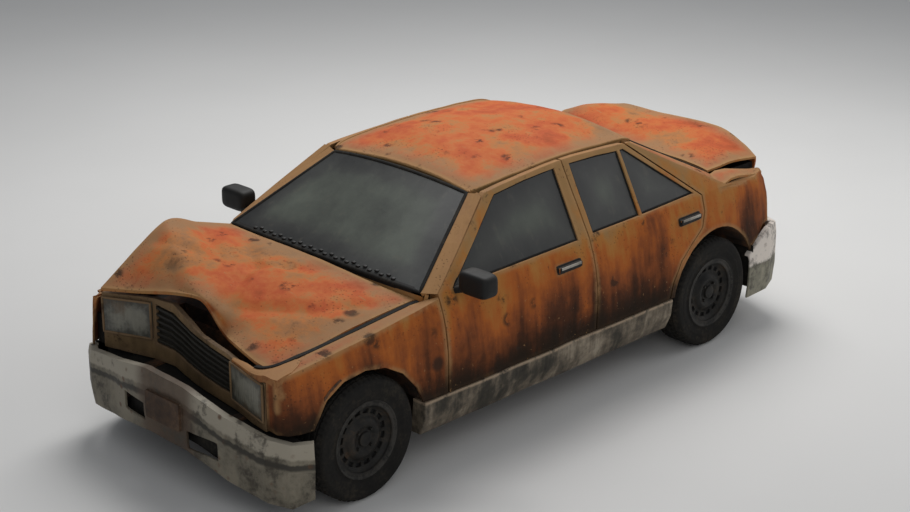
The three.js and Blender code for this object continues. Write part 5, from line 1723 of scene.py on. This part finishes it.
@dataclass
class Wheels(SubAssembly):
    """Tyres with worn tread blocks and pressed steel rims with slots."""

    steps: int = 240
    # Points of the tyre's section, on each side wall and across the tread.
    wall_points: int = 34
    tread_points: int = 40
    blocks: int = 60
    groove_depth: float = 0.007
    groove_half: float = 0.0042
    bead: float = 0.1925
    tread: tuple = (-0.052, -0.018, 0.018, 0.052)
    tread_half: float = 0.066
    # Rings on the side wall: first and last radius, spacing and height.
    wall_rings: tuple = (0.235, 0.262, 0.004, 0.0012)
    rim_steps: int = 192
    face_points: int = 100
    # Radius and run outwards of the rim's face, from its middle to the bead seat.
    rim_face: tuple = (
        (0.0, 0.080), (0.030, 0.079), (0.036, 0.076), (0.038, 0.064), (0.052, 0.063),
        (0.066, 0.071), (0.084, 0.074), (0.100, 0.066), (0.112, 0.056), (0.126, 0.052),
        (0.148, 0.054), (0.158, 0.062), (0.166, 0.072), (0.170, 0.082), (0.186, 0.083),
        (0.193, 0.087), (0.1985, 0.088), (0.1985, 0.081), (0.1918, 0.079),
    )
    rim_back: tuple = (
        (0.1918, -0.079), (0.1985, -0.080), (0.1985, -0.086), (0.176, -0.078), (0.172, 0.040),
        (0.150, 0.034), (0.070, -0.004), (0.036, -0.004), (0.036, 0.02), (0.0, 0.02),
    )
    rim_most: float = 0.1988
    # The lip's soft inner edge.
    lip: tuple = (0.168, 0.180)
    slots: int = 16
    slot_radius: float = 0.136
    slot_half: float = 0.0095
    slot_share: float = 0.52
    slot_depth: float = 0.010
    bolt_circle: float = 0.058
    bolt: tuple = ((0, 0.060), (0.009, 0.060), (0.009, 0.076), (0.007, 0.079), (0, 0.079))

    def build(self) -> None:
        """Builds the four wheels."""
        for end in ("front", "rear"):
            for side in Side:
                name = f"{end}_{side.word}"
                self.tyre(name, side)
                self.rim(name, side)

    def tyre(self, name: str, side: Side) -> None:
        """The tyre: a turned section, sunk in grooves round it and cuts across its blocks.

        Args:
            name: End and side of the wheel.
            side: Side of the car.
        """
        node = "tyre_" + name
        low, high = corners_of(node)
        half, _, radius = (high - low) / 2
        wall = smoothed([
            (self.bead, -0.078), (0.200, -0.086), (0.215, -0.084), (0.240, -0.090), (0.268, -half),
            (0.290, -half), (radius - 0.010, -0.080), (radius - 0.002, -0.068),
        ], self.wall_points, 0.8)
        across = np.linspace(-self.tread_half, self.tread_half, self.tread_points)
        flat = np.column_stack([np.full(self.tread_points, radius), across])
        inner = [(self.bead, 0.06), (self.bead, -0.06)]
        out, run = np.concatenate([wall, flat, (wall * [1, -1])[::-1], inner]).T
        turn = np.linspace(0, 2 * np.pi, self.steps, endpoint=False)[:, None]
        round_cut = np.abs(run - np.array(self.tread)[:, None]).min(0) < self.groove_half
        phase = (turn * self.blocks / (2 * np.pi) + 0.37 * np.digitize(run, self.tread)) % 1
        cross_cut = (phase < 0.25) & (np.abs(run) > 0.018)
        depth = self.groove_depth * (out > radius - 0.013) * np.maximum(round_cut, 0.75 * cross_cut)
        first, last, pitch, height = self.wall_rings
        rings = height * np.sin((out - first) / pitch * np.pi) * ((out > first) & (out < last))
        part = turned(out - depth, run + np.sign(run) * rings, self.steps, middle(node), side)
        place(make(node + "_tread", part, 40), self.finishes.rubber, body_with(node), Slot.TYRE, node)

    def rim(self, name: str, side: Side) -> None:
        """The rim: a turned section with slots sunk near the edge of its disc, and bolts.

        Args:
            name: End and side of the wheel.
            side: Side of the car.
        """
        node = "rim_" + name
        centre = middle("tyre_" + name)
        face = smoothed(self.rim_face, self.face_points, 0.75)
        face[:, 0] = np.clip(face[:, 0], 0, self.rim_most)
        radius, run = np.concatenate([face, self.rim_back]).T
        turn = np.linspace(0, 2 * np.pi, self.rim_steps, endpoint=False)[:, None]
        on_disc = (np.arange(len(run)) < len(face)) * (np.abs(radius - self.slot_radius) < self.slot_half)
        phase = turn * self.slots / (2 * np.pi) % 1
        slot = on_disc * (np.abs(phase - 0.5) < self.slot_share / 2)
        disc = turned(radius, run - self.slot_depth * slot, self.rim_steps, centre, side)
        rim = make(node + "_disc", merged([disc, *self.bolts(centre, side)]), 30)
        at = points_of(rim) - centre
        radius, out = np.hypot(at[:, 1], at[:, 2]), at[:, 0] * side.value
        first, last = self.lip
        paint(rim, "lip", np.clip((radius - first) / (last - first), 0, 1))
        # Points in the sunk slots, kept for the painted shade that makes them near black.
        angle = np.arctan2(at[:, 1], at[:, 2]) * self.slots / (2 * np.pi) % 1
        in_ring = np.abs(radius - self.slot_radius) < self.slot_half + 0.001
        dark = in_ring & (np.abs(angle - 0.5) < self.slot_share / 2 + 0.04) & (out > 0) & (out < 0.05)
        paint(rim, "slot", dark.astype(float))
        place(rim, self.finishes.rim, body_with(node), Slot.RIM, node)

    def bolts(self, centre: Array, side: Side) -> list[Part]:
        """Four hexagonal bolts round the hub.

        Args:
            centre: Middle of the wheel.
            side: Side of the car.

        Returns:
            Points and faces of each.
        """
        radius, run = np.array(self.bolt, float).T
        turn = np.pi / 4 + np.arange(4) * np.pi / 2
        spots = centre + self.bolt_circle * np.stack([0 * turn, np.sin(turn), np.cos(turn)], 1)
        return [turned(radius, run, 6, spot, side) for spot in spots]


# Painted shade behind the gaps


@dataclass
class Closures(SubAssembly):
    """Dark sheets of painted shade behind the gaps of the bonnet, the bumper and the boot lid, and the nose
    cap.
    """

    # Painted shade in the gutters. Columns: y, then x and z under the bonnet's edge and under the fender's
    # lip.
    gutters: dict = field(default_factory=lambda: {
        Side.LEFT: (
            (-1.700, 0.585, 0.712, 0.660, 0.745), (-1.500, 0.612, 0.760, 0.672, 0.774),
            (-1.280, 0.640, 0.806, 0.690, 0.804), (-0.960, 0.662, 0.838, 0.712, 0.844),
            (-0.885, 0.664, 0.846, 0.742, 0.860),
        ),
        Side.RIGHT: (
            (-1.700, 0.655, 0.730, 0.757, 0.744), (-1.500, 0.655, 0.750, 0.722, 0.774),
            (-1.280, 0.665, 0.790, 0.712, 0.804), (-0.960, 0.675, 0.838, 0.722, 0.844),
            (-0.885, 0.680, 0.846, 0.742, 0.860),
        ),
    })
    # Columns: x, then y and z of the front edge and of the back edge.
    cap: tuple = (
        (0.320, -1.7270, 0.711, -1.708, 0.714), (0.420, -1.7475, 0.711, -1.716, 0.719),
        (0.500, -1.767, 0.714, -1.733, 0.723), (0.550, -1.777, 0.721, -1.730, 0.733),
        (0.590, -1.784, 0.731, -1.708, 0.746), (0.615, -1.789, 0.740, -1.672, 0.757),
        (0.634, -1.793, 0.747, -1.625, 0.770), (0.668, -1.796, 0.750, -1.600, 0.781),
        (0.700, -1.796, 0.749, -1.640, 0.772), (0.722, -1.788, 0.748, -1.700, 0.761),
    )
    cap_depth: float = 0.034
    # Columns: x, y in front, lower edge and y at the back of the sheet of painted shade behind the bumper.
    curtain: tuple = (
        (-0.792, -1.690, 0.240, -1.700), (-0.775, -1.735, 0.235, -1.700), (-0.690, -1.778, 0.225, -1.690),
        (-0.420, -1.820, 0.235, -1.570), (-0.150, -1.845, 0.265, -1.560), (0.150, -1.848, 0.265, -1.560),
        (0.430, -1.838, 0.220, -1.570), (0.680, -1.795, 0.190, -1.690), (0.780, -1.745, 0.190, -1.715),
        (0.822, -1.712, 0.200, -1.715),
    )
    curtain_lip: float = 0.10
    curtain_levels: tuple = (0.425, 0.437, 0.442)
    # Sheets of painted shade beside and below the nose's right end: two places across, then low and high.
    corners: tuple = (
        ((-0.758, -1.722), (-0.692, -1.722), 0.400, 0.640),
        ((-0.791, -1.722), (-0.692, -1.722), 0.380, 0.480),
        ((-0.705, -1.718), (-0.560, -1.659), 0.420, 0.500),
    )
    # The dark strip of painted shade that fills the gap along the bonnet's left edge and round its corner:
    # x, y, z.
    strip: tuple = (
        (0.490, -1.722, 0.727), (0.545, -1.722, 0.738), (0.590, -1.699, 0.752), (0.618, -1.655, 0.766),
        (0.634, -1.600, 0.779), (0.650, -1.500, 0.792), (0.672, -1.280, 0.823), (0.694, -0.960, 0.863),
        (0.712, -0.885, 0.875),
    )
    strip_size: tuple = (0.027, 0.005)
    # Half of the line round the boot's opening, where a dark sheet of painted shade stands, as x and y.
    boot: tuple = ((0.590, 1.520), (0.594, 1.700), (0.596, 1.900), (0.584, 1.938), (0.300, 1.965))
    boot_low: float = 0.780
    boot_high: float = 0.902
    sheet: float = 0.004

    def build(self) -> None:
        """Builds each sheet of painted shade, and the nose cap."""
        for side, rows in self.gutters.items():
            table = smoothed(rows, 41)
            x, z = (between(table, k, k + 2, np.linspace(0, 1, 5)) for k in (1, 2))
            top = drawn(np.stack([side.value * x, table[:, :1] + 0 * x, z], -1))
            part = shell(top, top - [0, 0, self.sheet])
            self.hide("bonnet_gutter_" + side.word, part)
        section = rounded(*self.strip_size, 0.002, 3)
        self.hide("bonnet_strip_left", swept(drawn(smoothed(self.strip, 81)), UP, section))
        self.nose_cap()
        self.hide("bumper_curtain", merged([self.curtain_sheet(), *self.corner_sheets()]))
        right = np.array(self.boot)
        path = smoothed(np.concatenate([right, right[::-1] * [-1, 1]]), 91, 0.8)
        height = np.full(len(path), (self.boot_low + self.boot_high) / 2)
        section = rectangle(2 * self.sheet, self.boot_high - self.boot_low)
        boot_shade_band = swept(drawn(np.column_stack([path, height])), UP, section)
        self.hide("boot_opening_liner", boot_shade_band)

    def hide(self, name: str, part: Part) -> None:
        """Makes a dark rubbery sheet of painted shade on the body."""
        place(make(name, part), self.finishes.rubber, "body", Slot.PLASTIC)

    def nose_cap(self) -> None:
        """The bent sheet between the round corner of the bonnet, the lamp and the fender."""
        table = smoothed(self.cap, 49)
        share = np.linspace(0, 1, 13)
        y, z = (between(table, k, k + 2, share) for k in (1, 2))
        z = z + 0.003 * np.sin(np.pi * share)
        top = drawn(np.stack([table[:, :1] + 0 * y, y, z], -1))
        cap = make("nose_cap_left", shell(top, top - [0, 0, self.cap_depth]), 40)
        paint(cap, "edge", np.full(len(cap.data.vertices), 0.012))
        place(cap, self.finishes.paint, "body", Slot.RUST)

    def curtain_sheet(self) -> Part:
        """The black sheet of painted shade behind the intakes, folded back under the nose."""
        x, y, low, back = smoothed(self.curtain, 57).T[..., None]
        y = np.concatenate([y, y, y + 0.01, y * 0.7 + back * 0.3, back], 1)
        levels = [0 * low + level for level in self.curtain_levels]
        z = np.concatenate([low, low + self.curtain_lip, *levels], 1)
        face = drawn(np.stack([x + 0 * y, y, z], -1))
        return shell(face, face + [0, self.sheet, -self.sheet])

    def corner_sheets(self) -> list[Part]:
        """The upright dark sheets of painted shade at the nose's right end."""
        parts = []
        for start, stop, low, high in self.corners:
            path = drawn([(*spot, (low + high) / 2) for spot in (start, stop)])
            parts.append(swept(path, UP, rectangle(self.sheet, high - low)))
        return parts


# Inside and underneath


@dataclass(frozen=True)
class Pad:
    """One cushion: a box whose corners and faces are drawn from rounded powers."""

    name: str
    centre: Place
    half: Place
    # Degrees about the X axis.
    lean: float = 0.0
    channels: int = 5
    power: float = 0.34
    seam_depth: float = 0.10

    def build(self, steps: int = 40) -> bpy.types.Object:
        """Makes the cushion: a squared globe with sunk seams, leaned back.

        Args:
            steps: Points of the globe from pole to pole.

        Returns:
            The cushion.
        """
        points, faces = globe(np.ones(3), self.power, steps)
        x, y, z = points.T
        seam = np.abs(np.sin(np.pi * self.channels * (x + 1) / 2)) ** 0.35
        through = z if self.half[2] < self.half[1] else y
        face = np.clip(np.abs(through) - 0.55, 0, 1) / 0.45
        depth = 1 - self.seam_depth * (1 - seam) * face
        points = np.stack([x, y * depth, z * depth], -1) * self.half
        turn = math.radians(self.lean)
        spin = np.array([
            [1, 0, 0], [0, math.cos(turn), -math.sin(turn)], [0, math.sin(turn), math.cos(turn)],
        ])
        return make(self.name, (points @ spin.T + drawn(self.centre), faces), 80)


@dataclass
class Cabin(SubAssembly):
    """Seats, dashboard and steering wheel."""

    def build(self) -> None:
        """Builds what the doors open onto."""
        for side in Side:
            self.front_seat(side)
        self.bench()
        for node, part, cell, bevel, sharp in (
            ("dashboard", "top", 0.03, 0.012, 40), ("steering_wheel", "rim", 0.02, 0.003, 60),
        ):
            piece = refined(node, f"{node}_{part}", cell, bevel, None, sharp)
            place(piece, self.finishes.plastic, "body", Slot.PLASTIC, node)

    def front_seat(self, side: Side) -> None:
        """One front seat of three cushions.

        Args:
            side: Side of the car.
        """
        word, x = side.word, side.value * 0.375
        pads = (
            Pad(f"seat_{word}_cushion", (x, -0.055, 0.365), (0.238, 0.258, 0.086), 3.0),
            Pad(f"seat_{word}_back", (x, 0.235, 0.690), (0.226, 0.060, 0.290), -15.0),
            Pad(f"seat_{word}_headrest", (x, 0.300, 1.035), (0.118, 0.040, 0.068), -10.0, 1),
        )
        self.dress(pads, f"seat_front_{word}")

    def bench(self) -> None:
        """The rear bench of two cushions."""
        pads = (
            Pad("bench_cushion", (0.0, 0.700, 0.447), (0.585, 0.205, 0.046), 3.0, 7),
            Pad("bench_back", (0.0, 0.925, 0.670), (0.490, 0.044, 0.262), -11.0, 7),
        )
        self.dress(pads, "seat_rear")

    def dress(self, pads: Sequence[Pad], node: str) -> None:
        """Builds cushions and gives them their cloth.

        Args:
            pads: The cushions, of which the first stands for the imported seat.
            node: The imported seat.
        """
        for k, pad in enumerate(pads):
            piece = pad.build()
            place(piece, self.finishes.cloth, "body", Slot.CLOTH, *([node] if k == 0 else []))


@dataclass
class Underside(SubAssembly):
    """Welded frame, floor, axles, exhaust and engine in their own rust, and the mud flaps."""

    nodes: tuple = (
        "frame_front", "frame_rear", "floor_pan", "subframe_front", "axle_rear", "exhaust", "engine",
        "knuckle_left", "knuckle_right",
    )
    flap_y: float = 1.706
    # First and last x, then first and last z, and the thickness.
    flap: tuple = (0.655, 0.815, 0.235, 0.500)
    flap_sheet: float = 0.006

    def build(self) -> None:
        """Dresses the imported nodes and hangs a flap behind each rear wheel."""
        dressing = {node: self.finishes.steel for node in self.nodes} | {"frame_cabin": self.finishes.paint}
        for node, finish in dressing.items():
            materials = frame["nodes"][node].data.materials
            materials.clear()
            materials.append(finish)
        x0, x1, z0, z1 = self.flap
        for side in Side:
            x, z = np.meshgrid(np.linspace(x0, x1, 17), np.linspace(z0, z1, 21), indexing="ij")
            y = self.flap_y + 0.010 * np.sin(9 * z) + 0.004 * np.sin(23 * x)
            face = drawn(np.stack([side.value * x, y, z], -1))
            flap = make(f"mud_flap_{side.word}", shell(face, face + [0, self.flap_sheet, 0]))
            place(flap, self.finishes.rubber, "body", Slot.PLASTIC)


@dataclass
class Studio:
    """Floor, lights and the camera."""

    camera_at: Place = (7.0974, -7.0995, 4.4899)
    look: Place = (-0.65658, 0.66551, -0.35495)
    lens: float = 78.75
    floor_width: float = 120.0
    floor_colour: Colour = (0.72, 0.71, 0.69)
    sky: Colour = (0.80, 0.84, 0.90)
    sky_strength: float = 0.28
    lights_look: Place = (0.0, 0.0, 0.6)
    # Each light's place, strength in watts and size.
    lights: tuple = (
        ((-2.2, 2.6, 7.0), 430.0, 4.5), ((6.0, -4.0, 4.4), 90.0, 5.0), ((3.0, 5.5, 3.5), 55.0, 4.0),
    )

    def build(self) -> None:
        """Sets up the floor, the lights, the sky and the camera."""
        self.lay_floor()
        for k, (spot, power, size) in enumerate(self.lights):
            light = bpy.data.lights.new(f"softbox_{k}", "AREA")
            light.energy, light.size = power, size
            self.aim(light, np.array(spot), np.array(self.lights_look) - spot)
        world = bpy.data.worlds.new("studio")
        world.use_nodes = True
        sky = world.node_tree.nodes["Background"]
        sky.inputs[0].default_value = (*self.sky, 1)
        sky.inputs[1].default_value = self.sky_strength
        scene = bpy.context.scene
        scene.world = world
        scene.view_settings.view_transform = "Standard"
        camera = bpy.data.cameras.new("camera")
        camera.lens, camera.clip_end = self.lens, 200
        scene.camera = self.aim(camera, drawn(self.camera_at), self.look)

    def lay_floor(self) -> None:
        """Lays the pale floor, a little uneven in its colour."""
        corners = np.column_stack([rectangle(self.floor_width, self.floor_width), np.zeros(4)])
        floor = make("floor", (corners, [[0, 1, 2, 3]]))
        g = Graph("pale_floor")
        darker = tuple(0.97 * c for c in self.floor_colour)
        colour = g.mix(g.span(g.noise(0.4, 3), 0.3, 0.7), self.floor_colour, darker)
        floor.data.materials.append(g.finish(colour, 0.9, specular=0.1))

    def aim(self, data: bpy.types.ID, spot: Array, way: Sequence) -> bpy.types.Object:
        """Puts a light or a camera into the scene.

        Args:
            data: The light or the camera.
            spot: Its place.
            way: Direction that it looks along.

        Returns:
            Its object.
        """
        made = bpy.data.objects.new(data.name, data)
        made.location = spot
        made.rotation_euler = Vector(way).to_track_quat("-Z", "Y").to_euler()
        bpy.context.scene.collection.objects.link(made)
        return made


def main() -> None:
    """Builds every part of the car in order."""
    logging.basicConfig(level=logging.INFO, format="%(name)s %(message)s")
    Studio().build()
    finishes = Finishes()
    for part in (
        Bonnet, BootLid, Roof, BodyPanels, Doors, Glazing, Ends, Closures, Wheels, Cabin, Underside,
    ):
        part(finishes).build()


if __name__ == "__main__":
    main()
